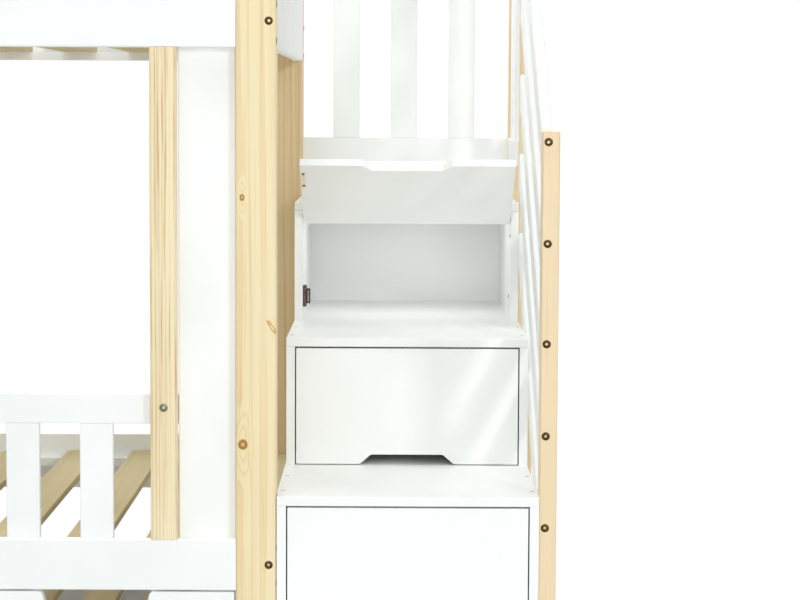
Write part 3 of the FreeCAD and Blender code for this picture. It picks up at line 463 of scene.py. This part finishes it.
class Pattern(Tree):
    """Geometry Nodes tree that sets one template on many studs, with named sizes."""

    def __init__(self, name: str) -> None:
        """Start an empty tree with a geometry input and output."""
        super().__init__(bpy.data.node_groups.new(name, "GeometryNodeTree"))
        self.name = name
        self.tree.is_modifier = True
        for way in ("INPUT", "OUTPUT"):
            self.tree.interface.new_socket(name="Geometry", in_out=way,
                                           socket_type="NodeSocketGeometry")
        self.source = self.add("NodeGroupInput")
        self.values: dict[str, float] = {}

    def sizes(self, **values: float) -> list[Socket]:
        """Named inputs of the tree, in millimetres, as sockets in metres for the nodes."""
        for key, value in values.items():
            socket = self.tree.interface.new_socket(name=key.replace("_", " "), in_out="INPUT",
                                                    socket_type="NodeSocketFloat")
            self.values[socket.identifier] = value / 1000.0
        return [self.source.outputs[key.replace("_", " ")] for key in values]

    def named(self, name: str, kind: str) -> Socket:
        """Attribute of the studs, read by its name."""
        node = self.add("GeometryNodeInputNamedAttribute", {"data_type": kind}, Name=name)
        wanted = {"FLOAT": "VALUE", "INT": "INT", "FLOAT_VECTOR": "VECTOR"}[kind]
        return next(socket for socket in node.outputs if socket.type == wanted)

    def prism(self, sides: int, radius: object, depth: object, rise: object,
              rings: int = 1) -> Socket:
        """Closed prism or cylinder about the driving axis, its middle at a given height."""
        body = self.add("GeometryNodeMeshCylinder", {"fill_type": "TRIANGLE_FAN"}, Vertices=sides,
                        Fill_Segments=rings, Radius=radius, Depth=depth).outputs[0]
        return self.moved(body, rise)

    def moved(self, body: object, rise: object) -> Socket:
        """A mesh moved along the driving axis."""
        lift = self.add("ShaderNodeCombineXYZ", None, Z=rise).outputs[0]
        return self.add("GeometryNodeTransform", None, Geometry=body, Translation=lift).outputs[0]

    def star(self, inner: object, outer: object, depth: object) -> Socket:
        """Closed four-pointed star, half a millimetre proud, for the recess of a cross head."""
        curve = self.add("GeometryNodeCurveStar", None, Points=4, Inner_Radius=inner,
                         Outer_Radius=outer).outputs[0]
        flat = self.add("GeometryNodeFillCurve", {"mode": "NGONS"}, Curve=curve).outputs[0]
        raised = self.add("GeometryNodeExtrudeMesh", None, Mesh=flat, Offset_Scale=depth,
                          Individual=False).outputs[0]
        under = self.add("GeometryNodeFlipFaces", None, Mesh=flat).outputs[0]
        whole = self.add("GeometryNodeMergeByDistance", None, Distance=0.00001,
                         Geometry=self.join(raised, under)).outputs[0]
        return self.moved(whole, -0.0005)

    def marked(self, body: object, finish: int) -> Socket:
        """Write on every face which finish it takes."""
        return self.add("GeometryNodeStoreNamedAttribute", {"data_type": "INT", "domain": "FACE"},
                        Geometry=body, Name="finish", Value=finish).outputs[0]

    def join(self, *bodies: Socket) -> Socket:
        """Several meshes as one."""
        node = self.add("GeometryNodeJoinGeometry")
        for body in bodies:
            self.tree.links.new(body, node.inputs[0])
        return node.outputs[0]

    def cut(self, body: object, tool: object) -> Socket:
        """A mesh with another taken out of it."""
        return self.add("GeometryNodeMeshBoolean", {"operation": "DIFFERENCE"}, Mesh_1=body,
                        Mesh_2=tool).outputs[0]

    def crown(self, body: object, radius: object, rise: object) -> Socket:
        """Dome the outer face of a head that is driven along +Z."""
        place = self.add("GeometryNodeInputPosition").outputs[0]
        spot = self.add("ShaderNodeSeparateXYZ", None, Vector=place)
        square = self.math("ADD", self.math("POWER", spot.outputs[0], 2.0),
                           self.math("POWER", spot.outputs[1], 2.0))
        share = self.math("SUBTRACT", 1.0, self.math(
            "DIVIDE", square, self.math("POWER", radius, 2.0)), clamp=True)
        outer = self.math("LESS_THAN", spot.outputs[2], 0.0)
        lift = self.times(self.times(share, rise), self.times(outer, -1.0))
        offset = self.add("ShaderNodeCombineXYZ", None, Z=lift).outputs[0]
        return self.add("GeometryNodeSetPosition", None, Geometry=body, Offset=offset).outputs[0]

    def set_on(self, template: object, finish: int | None = None,
               stretch: bool = False) -> Socket:
        """Put the template on every stud, or on those of one finish, turned to its direction.

        Args:
            template: mesh driven along +Z from its origin.
            finish: only studs of this finish.
            stretch: lengthen the template by each stud's run.

        Returns:
            The instances' socket.
        """
        turn = self.add("FunctionNodeAlignRotationToVector", {"axis": "Z"},
                        Vector=self.named("aim", "FLOAT_VECTOR")).outputs[0]
        node = self.add("GeometryNodeInstanceOnPoints", None, Points=self.source.outputs[0],
                        Instance=template, Rotation=turn)
        if finish is not None:
            self.put(node, "Selection", self.math("COMPARE", self.named("finish", "INT"),
                                                  float(finish), 0.5))
        if stretch:
            self.put(node, "Scale", self.add("ShaderNodeCombineXYZ", None, X=1.0, Y=1.0,
                                             Z=self.named("run", "FLOAT")).outputs[0])
        return node.outputs[0]

    def bake(self, result: object, studs: list[Stud], finishes: list[Material]) -> Mesh:
        """Finish the tree, run it on the studs and keep the result as a plain mesh.

        Args:
            result: the instances to keep.
            studs: where the template goes.
            finishes: materials, in the order of the finish numbers.

        Returns:
            The mesh, placed in the part's frame.
        """
        crease = self.math("GREATER_THAN", self.add("GeometryNodeInputMeshEdgeAngle").outputs[0],
                           CREASE)
        body = self.add("GeometryNodeRealizeInstances", None, Geometry=result).outputs[0]
        body = self.add("GeometryNodeSetShadeSmooth", {"domain": "FACE"}, Geometry=body,
                        Shade_Smooth=True).outputs[0]
        body = self.add("GeometryNodeSetShadeSmooth", {"domain": "EDGE"}, Geometry=body,
                        Selection=crease, Shade_Smooth=False).outputs[0]
        for number, material in enumerate(finishes):
            same = self.math("COMPARE", self.named("finish", "INT"), float(number), 0.5)
            body = self.add("GeometryNodeSetMaterial", None, Geometry=body, Selection=same,
                            Material=material).outputs[0]
        self.put(self.add("NodeGroupOutput"), 0, body)
        points = bpy.data.meshes.new(self.name + "_studs")
        points.from_pydata([tuple(at(*stud.spot)) for stud in studs], [], [])
        for name, kind, field, values in (
                ("aim", "FLOAT_VECTOR", "vector", [part for stud in studs for part in stud.aim]),
                ("run", "FLOAT", "value", [stud.run / 1000.0 for stud in studs]),
                ("finish", "INT", "value", [stud.finish for stud in studs])):
            points.attributes.new(name, kind, "POINT").data.foreach_set(field, values)
        holder = stand(points.name, points)
        modifier = holder.modifiers.new("pattern", "NODES")
        modifier.node_group = self.tree
        for identifier, value in self.values.items():
            modifier[identifier] = value
        graph = bpy.context.evaluated_depsgraph_get()
        mesh = bpy.data.meshes.new_from_object(holder.evaluated_get(graph))
        mesh.name = self.name
        holder.modifiers.remove(modifier)
        bpy.data.objects.remove(holder)
        return mesh


class Shape:
    """Mesh built from simple closed forms, in millimetres of the bed's corner frame."""

    def __init__(self) -> None:
        """Start an empty mesh."""
        self.mesh = bmesh.new()

    def block(self, low: Triple, high: Triple, ease: float = 0.5, finish: int = 0,
              segments: int = 2) -> None:
        """Box with eased edges.

        Args:
            low: lowest corner.
            high: highest corner.
            ease: radius of its edges.
            finish: material index of its faces.
            segments: facets of each eased edge.
        """
        before = set(self.mesh.faces)
        made = bmesh.ops.create_cube(self.mesh, size=1.0)["verts"]
        middle = [(a + b) / 2 for a, b in zip(low, high)]
        for vertex in made:
            vertex.co = Vector([m + c * (b - a) for m, c, a, b in
                                zip(middle, vertex.co, low, high)])
        edges = list(dict.fromkeys(edge for vertex in made for edge in vertex.link_edges))
        bmesh.ops.bevel(self.mesh, geom=edges, offset=ease, segments=segments, profile=0.5,
                        affect="EDGES")
        for face in set(self.mesh.faces) - before:
            face.material_index = finish
            face.smooth = False

    def lathe(self, outline: list[tuple[float, float]], centre: Vector, axis: Vector,
              finish: int, steps: int) -> None:
        """Closed body of revolution.

        Args:
            outline: closed outline as pairs of radius and distance along the axis.
            centre: point on the axis.
            axis: direction of the axis.
            finish: material index of its faces.
            steps: facets round the axis.
        """
        turn = axis.to_track_quat("Z", "Y").to_matrix()
        rings = []
        for radius, rise in outline:
            ring = []
            for step in range(steps if radius > 0.0 else 1):
                angle = 2.0 * math.pi * step / steps
                spot = Vector((radius * math.cos(angle), radius * math.sin(angle), rise))
                ring.append(self.mesh.verts.new(centre + turn @ spot))
            rings.append(ring)
        closed = outline[0][0] > 0.0
        count = len(rings) if closed else len(rings) - 1
        for index in range(count):
            first, second = rings[index], rings[(index + 1) % len(rings)]
            for step in range(steps):
                after = (step + 1) % steps
                loop = [first[step % len(first)], first[after % len(first)],
                        second[after % len(second)], second[step % len(second)]]
                face = self.mesh.faces.new(list(dict.fromkeys(loop)))
                face.material_index = finish
                face.smooth = abs(outline[index][1] - outline[(index + 1) % len(rings)][1]) > 0.01

    def bake(self, name: str, finishes: list[Material], carry: Matrix | None = None) -> Mesh:
        """Turn every face outwards and carry the mesh over to the part's frame.

        Args:
            name: the mesh's name.
            finishes: materials, in the order of the faces' indices.
            carry: turn about a hinge, in the corner frame, done first.

        Returns:
            The finished mesh.
        """
        if carry:
            self.mesh.transform(carry)
        for vertex in self.mesh.verts:
            vertex.co = at(*vertex.co)
        bmesh.ops.recalc_face_normals(self.mesh, faces=self.mesh.faces)
        mesh = bpy.data.meshes.new(name)
        self.mesh.to_mesh(mesh)
        self.mesh.free()
        for material in finishes:
            mesh.materials.append(material)
        return mesh


# ---- shell


@dataclass(frozen=True)
class Lamp:
    """Soft rectangular lamp that looks at a point, placed in the bed's corner frame.

    Attributes:
        name: the lamp's name.
        spot: where it stands, millimetres.
        power: its light, watts.
        width: its width, metres.
        height: its height, metres.
        aim: the point that it looks at, millimetres.
    """

    name: str
    spot: Triple
    power: float
    width: float
    height: float
    aim: Triple = (200.0, 300.0, 800.0)

    def hang(self) -> None:
        """Put the lamp in the scene, out of the camera's sight."""
        spot, aim = at(*self.spot), at(*self.aim)
        data = bpy.data.lights.new(self.name, "AREA")
        data.shape, data.size, data.size_y = "RECTANGLE", self.width, self.height
        data.energy, data.color = self.power, (0.965, 0.99, 1.0)
        lamp = stand(self.name, data)
        lamp.visible_camera = False
        lamp.location = spot
        lamp.rotation_euler = (aim - spot).to_track_quat("-Z", "Y").to_euler()


@dataclass
class Studio:
    """Camera, floor, world and lamps."""

    camera_spot: Triple = (198.9, -3450.0, 1149.4)
    pitch_down: float = 4.137
    roll: float = 0.264
    lens: float = 91.13
    shift: tuple[float, float] = (0.0095, -0.0584)
    sky: float = 0.42
    backdrop: float = 1.05
    floor_reach: float = 30.0
    floor_white: float = 1.07
    floor_share: float = 0.93
    lamps: tuple[Lamp, ...] = (
        Lamp("key", (4040.0, -5590.0, 3375.0), 105.0, 0.9, 0.9),
        Lamp("left", (-4280.0, -5050.0, 3280.0), 12.0, 0.8, 0.8),
        Lamp("front", (150.0, -8000.0, 1250.0), 80.0, 3.0, 3.0),
        Lamp("high", (500.0, -6000.0, 5000.0), 40.0, 2.5, 2.5),
        Lamp("top", (-600.0, -900.0, 6800.0), 172.0, 3.0, 3.0),
        Lamp("rear", (-2500.0, 7000.0, 3000.0), 130.0, 3.0, 3.0),
        Lamp("inner", (228.0, 750.0, 931.0), 0.31, 0.36, 0.18, (228.0, 750.0, 717.0)))

    def camera(self) -> None:
        """Set up the camera at the photograph's viewing angle."""
        data = bpy.data.cameras.new("camera")
        data.lens, data.sensor_width = self.lens, 36.0
        data.shift_x, data.shift_y = self.shift
        data.clip_start, data.clip_end = 0.05, 90.0
        camera = stand("camera", data)
        turn = (Matrix.Rotation(math.radians(90.0 - self.pitch_down), 4, "X")
                @ Matrix.Rotation(math.radians(self.roll), 4, "Z"))
        camera.matrix_world = Matrix.Translation(at(*self.camera_spot)) @ turn
        bpy.context.scene.camera = camera

    @staticmethod
    def seen(nodes: Tree) -> Socket:
        """Share that is 1 for rays that show the background: from the camera, gloss or glass."""
        rays = nodes.add("ShaderNodeLightPath")
        both = nodes.math("MAXIMUM", rays.outputs["Is Camera Ray"], rays.outputs["Is Glossy Ray"])
        return nodes.math("MAXIMUM", both, rays.outputs["Is Transmission Ray"])

    @staticmethod
    def show(nodes: Tree, out: str, share: object, lit: Node, shown: Node) -> None:
        """Join two shaders to an output: the second by the share given, else the first."""
        mixed = nodes.fed(nodes.add("ShaderNodeMixShader"), share, lit.outputs[0],
                          shown.outputs[0])
        nodes.put(nodes.add(out), 0, mixed.outputs[0])

    def world(self) -> None:
        """White background, and soft even light from all round."""
        world = bpy.data.worlds.new("studio")
        nodes = Tree.of(world)
        lit = nodes.add("ShaderNodeBackground", None, Color=(0.95, 0.985, 1.0, 1.0),
                        Strength=self.sky)
        shown = nodes.add("ShaderNodeBackground", None, Color=(1.0, 1.0, 1.0, 1.0),
                          Strength=self.backdrop)
        self.show(nodes, "ShaderNodeOutputWorld", self.seen(nodes), lit, shown)
        bpy.context.scene.world = world

    def floor(self) -> None:
        """Plain pale floor under the object."""
        mesh = bpy.data.meshes.new("floor")
        far = self.floor_reach
        mesh.from_pydata([(-far, -far, 0.0), (far, -far, 0.0), (far, far, 0.0), (-far, far, 0.0)],
                         [], [(0, 1, 2, 3)])
        floor = stand("floor", mesh)
        material = bpy.data.materials.new("floor")
        nodes = Tree.of(material)
        matt = nodes.add("ShaderNodeBsdfDiffuse", None, Color=(0.88, 0.88, 0.88, 1.0))
        white = nodes.add("ShaderNodeEmission", None, Color=(1.0, 1.0, 1.0, 1.0),
                          Strength=self.floor_white)
        self.show(nodes, "ShaderNodeOutputMaterial",
                  nodes.times(self.seen(nodes), self.floor_share), matt, white)
        mesh.materials.append(material)

    def build(self) -> None:
        """Set up everything that isn't the object."""
        bpy.context.scene.view_settings.view_transform = "Standard"
        self.camera()
        self.world()
        self.floor()
        for lamp in self.lamps:
            lamp.hang()


# ---- dressing


def dress(node: str, material: Material) -> None:
    """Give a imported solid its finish.

    Args:
        node: the solid's name.
        material: the finish that all its slots take.
    """
    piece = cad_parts[node]
    for slot in piece.material_slots:
        slot.material = material
    LOG.info("dressed %s in %s", node, material.name)


@dataclass
class Timber:
    """Which solids are pine or painted wood, and how their grain runs."""

    pine_posts: tuple[str, ...] = ("front_left_post", "rear_left_post", "rear_right_post",
                                   "handrail_front_post", "handrail_mid_post",
                                   "handrail_rear_post")
    painted_x: tuple[str, ...] = ("slat_ledgers", "lower_front_rail", "lower_rear_rail",
                                  "upper_front_rail", "upper_rear_rail", "lower_fence_rail",
                                  "upper_front_guard_rail", "upper_rear_guard_rail",
                                  "trundle_front", "trundle_frame")
    painted_y: tuple[str, ...] = ("lower_left_end_rail", "lower_right_end_rail",
                                  "upper_left_end_rail", "upper_right_end_rail",
                                  "upper_left_guard_rail", "upper_right_guard_rail",
                                  "handrail_boards", "stair_guard_rails")
    painted_z: tuple[str, ...] = ("front_filler_board", "lower_fence_slats", "upper_guard_slats",
                                  "stair_guard_slats")

    def build(self) -> None:
        """Dress every board."""
        front_knots = (Knot(tuple(at(-58.0, 0.0, 994.0)), 0.0034, 1.4),
                       Knot(tuple(at(-56.8, 0.0, 568.8)), 0.0066, 1.1),
                       Knot(tuple(at(-6.5, 0.0, 771.0)), 0.0028, 4.6, 34.0, 0.12))
        dress("front_right_post", Pine("pine_front_right_post", Axis.Z,
                                       tuple(at(-20.0, 260.0, 0.0)), knots=front_knots).build())
        for index, name in enumerate(self.pine_posts):
            low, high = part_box(name)
            pith = ((low[0] + high[0]) / 2 + 0.03 * (-1) ** index, low[1] + 0.26, 0.0)
            rosy = name.startswith("handrail")
            dress(name, Pine(f"pine_{name}", Axis.Z, pith,
                             srgb(241, 217, 177) if rosy else srgb(238, 213, 168),
                             srgb(216, 172, 122) if rosy else srgb(204, 162, 104),
                             seed=1.7 * (index + 1)).build())
        dress("front_batten", Pine("pine_batten", Axis.Z, tuple(at(-150.0, -60.0, 0.0)),
                                   srgb(246, 230, 190), srgb(198, 160, 102), rings=260.0,
                                   wander=0.8, ring_weight=0.25, line_weight=0.95,
                                   line_scale=330.0, seed=9.1).build())
        # The slats' pine colours are darker than the posts' pine: painted shade from the bunk above
        # each row of slats.
        for index, name in enumerate(("lower_slats", "upper_slats", "trundle_slats")):
            dress(name, Pine(f"pine_{name}", Axis.Y, (0.0, 0.0, -0.4), srgb(218, 202, 160),
                             srgb(180, 158, 114), ring_weight=0.15, line_weight=0.25,
                             seed=21.0 + index, roughness=0.8, coat=0.0, gloss=0.1).build())
        dress("drawer_runners", Pine("pine_runners", Axis.Y, (0.0, 0.0, -0.2),
                                     seed=33.0).build())
        for axis, names in zip(Axis, (self.painted_x, self.painted_y, self.painted_z)):
            paint = Paint(f"white_paint_grain_{axis.name.lower()}", axis).build()
            for name in names:
                dress(name, paint)


@dataclass
class Staircase:
    """Boards, drawers and flap of the staircase."""

    boards: tuple[str, ...] = ("stair_left_panel", "stair_right_panel", "stair_bottom_board",
                               "stair_tread_1", "stair_tread_2", "stair_tread_3",
                               "stair_platform", "stair_back_panel", "drawer_1_front",
                               "drawer_2_front", "drawer_3_front", "drawer_1_box",
                               "drawer_2_box", "drawer_3_box", "flap_door")

    def build(self) -> None:
        """Dress the staircase."""
        coating = Paint("white_board_coating", Axis.X, shade=srgb(248, 249, 247), relief=0.05,
                        roughness=0.38).build()
        for name in self.boards:
            dress(name, coating)


@dataclass
class Fasteners:
    """Socket bolts of the posts and handrail, and the screws of the stairs, in millimetres."""

    bed_length: float = 1985.0
    bed_depth: float = 1077.0
    rail_middle: float = 10.0
    end_rail_middle: float = 12.5
    bolt_heights: tuple[float, ...] = (12.0, 73.0)
    end_bolt: float = 45.0
    long_run: float = 112.0
    hand_run: float = 82.0
    hand_heights: tuple[float, ...] = (1090.7, 917.0, 744.7, 585.4, 425.6)
    hand_rise: float = 13.0
    batten_bolt: Triple = (-193.0, 0.0, 632.0)
    batten_run: float = 33.0
    screw_run: float = 40.0
    screw_backs: tuple[float, ...] = (60.0, 205.0)
    riser: float = 239.0
    tread: float = 316.0

    def bolts(self) -> list[Stud]:
        """Every socket bolt, from the rails that they hold."""
        studs = []
        for face, way in ((0.0, -1.0), (-self.bed_length, 1.0)):
            for front, push in ((0.0, 1.0), (self.bed_depth, -1.0)):
                for rail in ("lower_front_rail", "upper_front_rail"):
                    base = corners(rail)[0].z
                    for rise in self.bolt_heights:
                        studs.append(Stud((face, front + push * self.rail_middle, base + rise),
                                          (way, 0.0, 0.0), self.long_run))
                    studs.append(Stud((face + way * self.end_rail_middle, front,
                                       base + self.end_bolt), (0.0, push, 0.0), self.long_run))
        low, high = corners("handrail_front_post")
        post = high.y - low.y
        low, high = corners("handrail_boards")
        middle = (low.x + high.x) / 2.0
        rear = corners("handrail_mid_post")[1].y
        climb = self.riser / self.tread * (rear - 2.0 * post)
        for height in self.hand_heights:
            studs.append(Stud((middle, 0.0, height), (0.0, 1.0, 0.0), self.hand_run))
            studs.append(Stud((middle, rear, height - 2.0 * self.hand_rise + climb),
                              (0.0, -1.0, 0.0), self.hand_run))
        studs.append(Stud(self.batten_bolt, (0.0, 1.0, 0.0), self.batten_run, finish=2))
        return studs

    def screws(self) -> list[Stud]:
        """Every screw of the treads and of the handrail's posts."""
        studs = []
        low, high = corners("stair_platform")
        half = (high.z - low.z) / 2.0
        for step in range(1, 5):
            for x in (low.x + half, high.x - half):
                for back in self.screw_backs:
                    studs.append(Stud((x, (step - 2) * self.tread + back, step * self.riser),
                                      (0.0, 0.0, -1.0), self.screw_run))
        for name in ("front", "mid", "rear"):
            near, far = corners(f"handrail_{name}_post")
            for share in (0.5, 1.5):
                studs.append(Stud((high.x - 2.0 * half, (near.y + far.y) / 2.0,
                                   share * self.riser), (1.0, 0.0, 0.0), self.screw_run))
        return studs

    def socket_bolts(self) -> None:
        """Bolts with a domed head, a six-sided socket and a light metal disc at its bottom."""
        bronze = Metal("bronze_plating", srgb(92, 70, 42), srgb(58, 43, 24)).build()
        socket_floor = Metal("light_socket_floor", srgb(204, 194, 166), srgb(158, 146, 118)).build()
        grey = Metal("zinc_bolt", srgb(132, 134, 118), srgb(96, 98, 84)).build()
        tree = Pattern("socket_bolts")
        radius, proud, height, dome = tree.sizes(Head_radius=7.0, Proud=1.0, Head_height=3.5,
                                                 Dome=1.0)
        recess, deep, foot_thick = tree.sizes(Socket_radius=2.8, Socket_depth=2.2,
                                              Socket_foot=0.4)
        shank, neck_long, neck_middle = tree.sizes(Shank_radius=4.0, Neck_length=10.0,
                                                   Neck_middle=6.8)
        blank = tree.prism(36, radius, tree.math("SUBTRACT", height, dome), 0.0, 4)
        socket = tree.prism(6, recess, tree.times(deep, 2.0), tree.times(height, -0.5))
        cup = tree.cut(tree.crown(blank, radius, dome), socket)
        # The disc at the socket's bottom takes a light metal, much lighter than the head's bronze.
        foot = tree.prism(6, tree.times(recess, SNUG), foot_thick,
                          tree.math("SUBTRACT", deep, tree.times(height, 0.62)))
        drop = tree.math("SUBTRACT", tree.times(tree.math("ADD", height, dome), 0.5), proud)
        heads = [tree.set_on(tree.moved(tree.join(tree.marked(cup, finish),
                                                  tree.marked(foot, 1)), drop), finish)
                 for finish in (0, 2)]
        rod = tree.marked(tree.prism(16, shank, 0.9, 0.55), 0)
        neck = tree.marked(tree.prism(16, tree.times(shank, SNUG), neck_long, neck_middle), 0)
        result = tree.join(*heads, tree.set_on(rod, stretch=True), tree.set_on(neck))
        publish(tree.bake(result, self.bolts(), [bronze, socket_floor, grey]), "frame", "bronze_steel",
                "post_bolts")

    def cross_screws(self) -> None:
        """Screws with a flat head and a cross recess."""
        zinc = Metal("zinc_plating", srgb(206, 205, 198), srgb(160, 158, 150)).build()
        tree = Pattern("cross_screws")
        radius, height, shank = tree.sizes(Head_radius=4.0, Head_height=2.0, Shank_radius=2.0)
        waist, reach, deep = tree.sizes(Recess_waist=0.8, Recess_reach=2.5, Recess_depth=1.7)
        blank = tree.prism(24, radius, height, tree.times(height, 0.5))
        head = tree.marked(tree.cut(blank, tree.star(waist, reach, deep)), 0)
        rod = tree.marked(tree.prism(12, shank, 0.95, 0.525), 0)
        result = tree.join(tree.set_on(head), tree.set_on(rod, stretch=True))
        publish(tree.bake(result, self.screws(), [zinc]), "frame", "steel", "tread_screws")

    def build(self) -> None:
        """Make the bolts and the screws."""
        self.socket_bolts()
        self.cross_screws()


@dataclass
class Fittings:
    """Catch, strike plate, caps, pins, casters and wheels, in millimetres."""

    plate_thick: float = 7.0
    block_tall: float = 29.0
    catch_screw: float = 17.6
    flap_half: float = 7.5
    strike_tall: float = 58.0
    strike_thick: float = 1.2
    strike_screw: float = 21.0
    cap_spots: tuple[tuple[float, float], ...] = ((655.0, 889.0), (690.0, 763.0), (655.0, 921.0))
    wheel_radius: float = 25.0
    wheel_half: float = 10.0
    axle: float = 4.05
    hinge: Triple = (227.5, 639.5, 925.5)
    open_angle: float = 124.0

    def catch(self) -> None:
        """Magnetic catch: base plate with two screws, magnet block and steel pole plates."""
        low, high = corners("magnetic_catch")
        brown = Plastic("catch_plastic", srgb(112, 84, 80), srgb(84, 60, 58)).build()
        black = Plastic("magnet_block", srgb(30, 24, 22), srgb(20, 16, 15)).build()
        pole = Metal("pole_plates", srgb(150, 146, 138), srgb(104, 100, 94)).build()
        shape = Shape()
        middle = (low.z + high.z) / 2.0
        step = low.x + self.plate_thick
        half = self.block_tall / 2.0
        shape.block((low.x, low.y, low.z), (step, high.y, high.z), 1.5, 0, 3)
        shape.block((step - 0.5, low.y + 1.0, middle - half),
                    (high.x - 0.6, high.y, middle + half), 0.8, 1)
        shape.block((step + 2.4, low.y, middle - half + 3.0),
                    (high.x - 2.4, high.y - 2.0, middle + half - 3.0), 0.3, 2)
        for rise in (-self.catch_screw, self.catch_screw):
            shape.lathe([(0.0, 0.6), (1.6, 0.9), (2.6, 0.0), (2.6, -1.0), (0.0, -1.0)],
                        Vector((step, (low.y + high.y) / 2.0, middle + rise)), RIGHTWARDS, 2, 16)
        publish(shape.bake("catch_body", [brown, black, pole]), "frame", "brown_plastic",
                "magnetic_catch")

    def strike(self) -> None:
        """Strike plate on the flap's inner face, made upright and turned with the open flap."""
        tan = Metal("strike_plating", srgb(252, 246, 232), srgb(240, 228, 205), 0.5).build()
        dark = Metal("strike_screws", srgb(92, 84, 58), srgb(60, 52, 32)).build()
        low, high = corners("flap_strike_plate")
        hinge = Vector(self.hinge)
        turn = Matrix.Rotation(math.radians(self.open_angle), 4, "X")
        heights = [(turn @ (Vector((low.x, y, z)) - hinge)).z for y in (low.y, high.y)
                   for z in (low.z, high.z)]
        centre = hinge.z + (min(heights) + max(heights)) / 2.0
        base = hinge.y + self.flap_half
        half = self.strike_tall / 2.0
        shape = Shape()
        shape.block((low.x, base, centre - half),
                    (high.x, base + self.strike_thick, centre + half))
        for rise in (-self.strike_screw, self.strike_screw):
            shape.lathe([(0.0, 1.5), (1.8, 1.45), (3.1, 1.2), (3.1, 0.2), (0.0, 0.2)],
                        Vector(((low.x + high.x) / 2.0, base, centre + rise)),
                        Vector((0.0, 1.0, 0.0)), 1, 20)
        carry = Matrix.Translation(hinge) @ turn.inverted() @ Matrix.Translation(-hinge)
        publish(shape.bake("strike_plate", [tan, dark], carry), "flap", "steel",
                "flap_strike_plate")

    def caps(self) -> None:
        """Small dark cover caps of the fixings inside the top compartment."""
        brown = Plastic("cap_plastic", srgb(96, 84, 70), srgb(70, 60, 50)).build()
        low, _ = corners("stair_right_panel")
        shape = Shape()
        for y, z in self.cap_spots:
            shape.lathe([(0.0, 0.9), (3.0, 0.8), (4.2, 0.1), (4.2, 0.0), (0.0, 0.0)],
                        Vector((low.x, y, z)), -RIGHTWARDS, 0, 20)
        publish(shape.bake("cover_caps", [brown]), "frame", "brown_plastic")

    def wheels(self) -> None:
        """Trundle wheels: a tyre round a webbed hub."""
        tyre = Plastic("tyre_rubber", srgb(52, 52, 54), srgb(38, 38, 40)).build()
        hub = Plastic("hub_plastic", srgb(196, 196, 194), srgb(182, 182, 180)).build()
        r, w, a = self.wheel_radius, self.wheel_half, self.axle
        crown = [(r - 4.9, -w + 1.5), (r - 2.4, -w + 0.4), (r - 0.7, -w + 1.6), (r - 0.1, -w + 4.5),
                 (r, 0.0)]
        outline = crown + [(radius, -rise) for radius, rise in reversed(crown[:-1])]
        web = [(a, -w), (a + 4.0, -w), (a + 4.5, -3.0), (r - 7.5, -3.0), (r - 7.0, -w + 1.5),
               (r - 5.0, -w + 1.5)]
        body = web + [(radius, -rise) for radius, rise in reversed(web)]
        for index in range(1, 5):
            low, high = corners(f"trundle_wheel_{index}")
            shape = Shape()
            for finish, profile in enumerate((outline, body)):
                shape.lathe(profile, (low + high) / 2.0, RIGHTWARDS, finish, 48)
            publish(shape.bake(f"wheel_set_{index}", [tyre, hub]), f"wheel_{index}",
                    "wheel_plastic", f"trundle_wheel_{index}")

    def build(self) -> None:
        """Make or dress the fittings."""
        zinc = Metal("zinc_fittings", srgb(196, 194, 186), srgb(150, 148, 142)).build()
        for name in ("barrel_nuts", "flap_pivot_pins", "trundle_casters"):
            dress(name, zinc)
        self.catch()
        self.strike()
        self.caps()
        self.wheels()


def main() -> None:
    """Build the studio and every sub-assembly in order."""
    logging.basicConfig(level=logging.INFO, format="%(name)s: %(message)s")
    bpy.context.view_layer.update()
    Studio().build()
    for part in (Timber(), Staircase(), Fasteners(), Fittings()):
        part.build()
        LOG.info("finished %s", type(part).__name__)


if __name__ == "__main__":
    main()
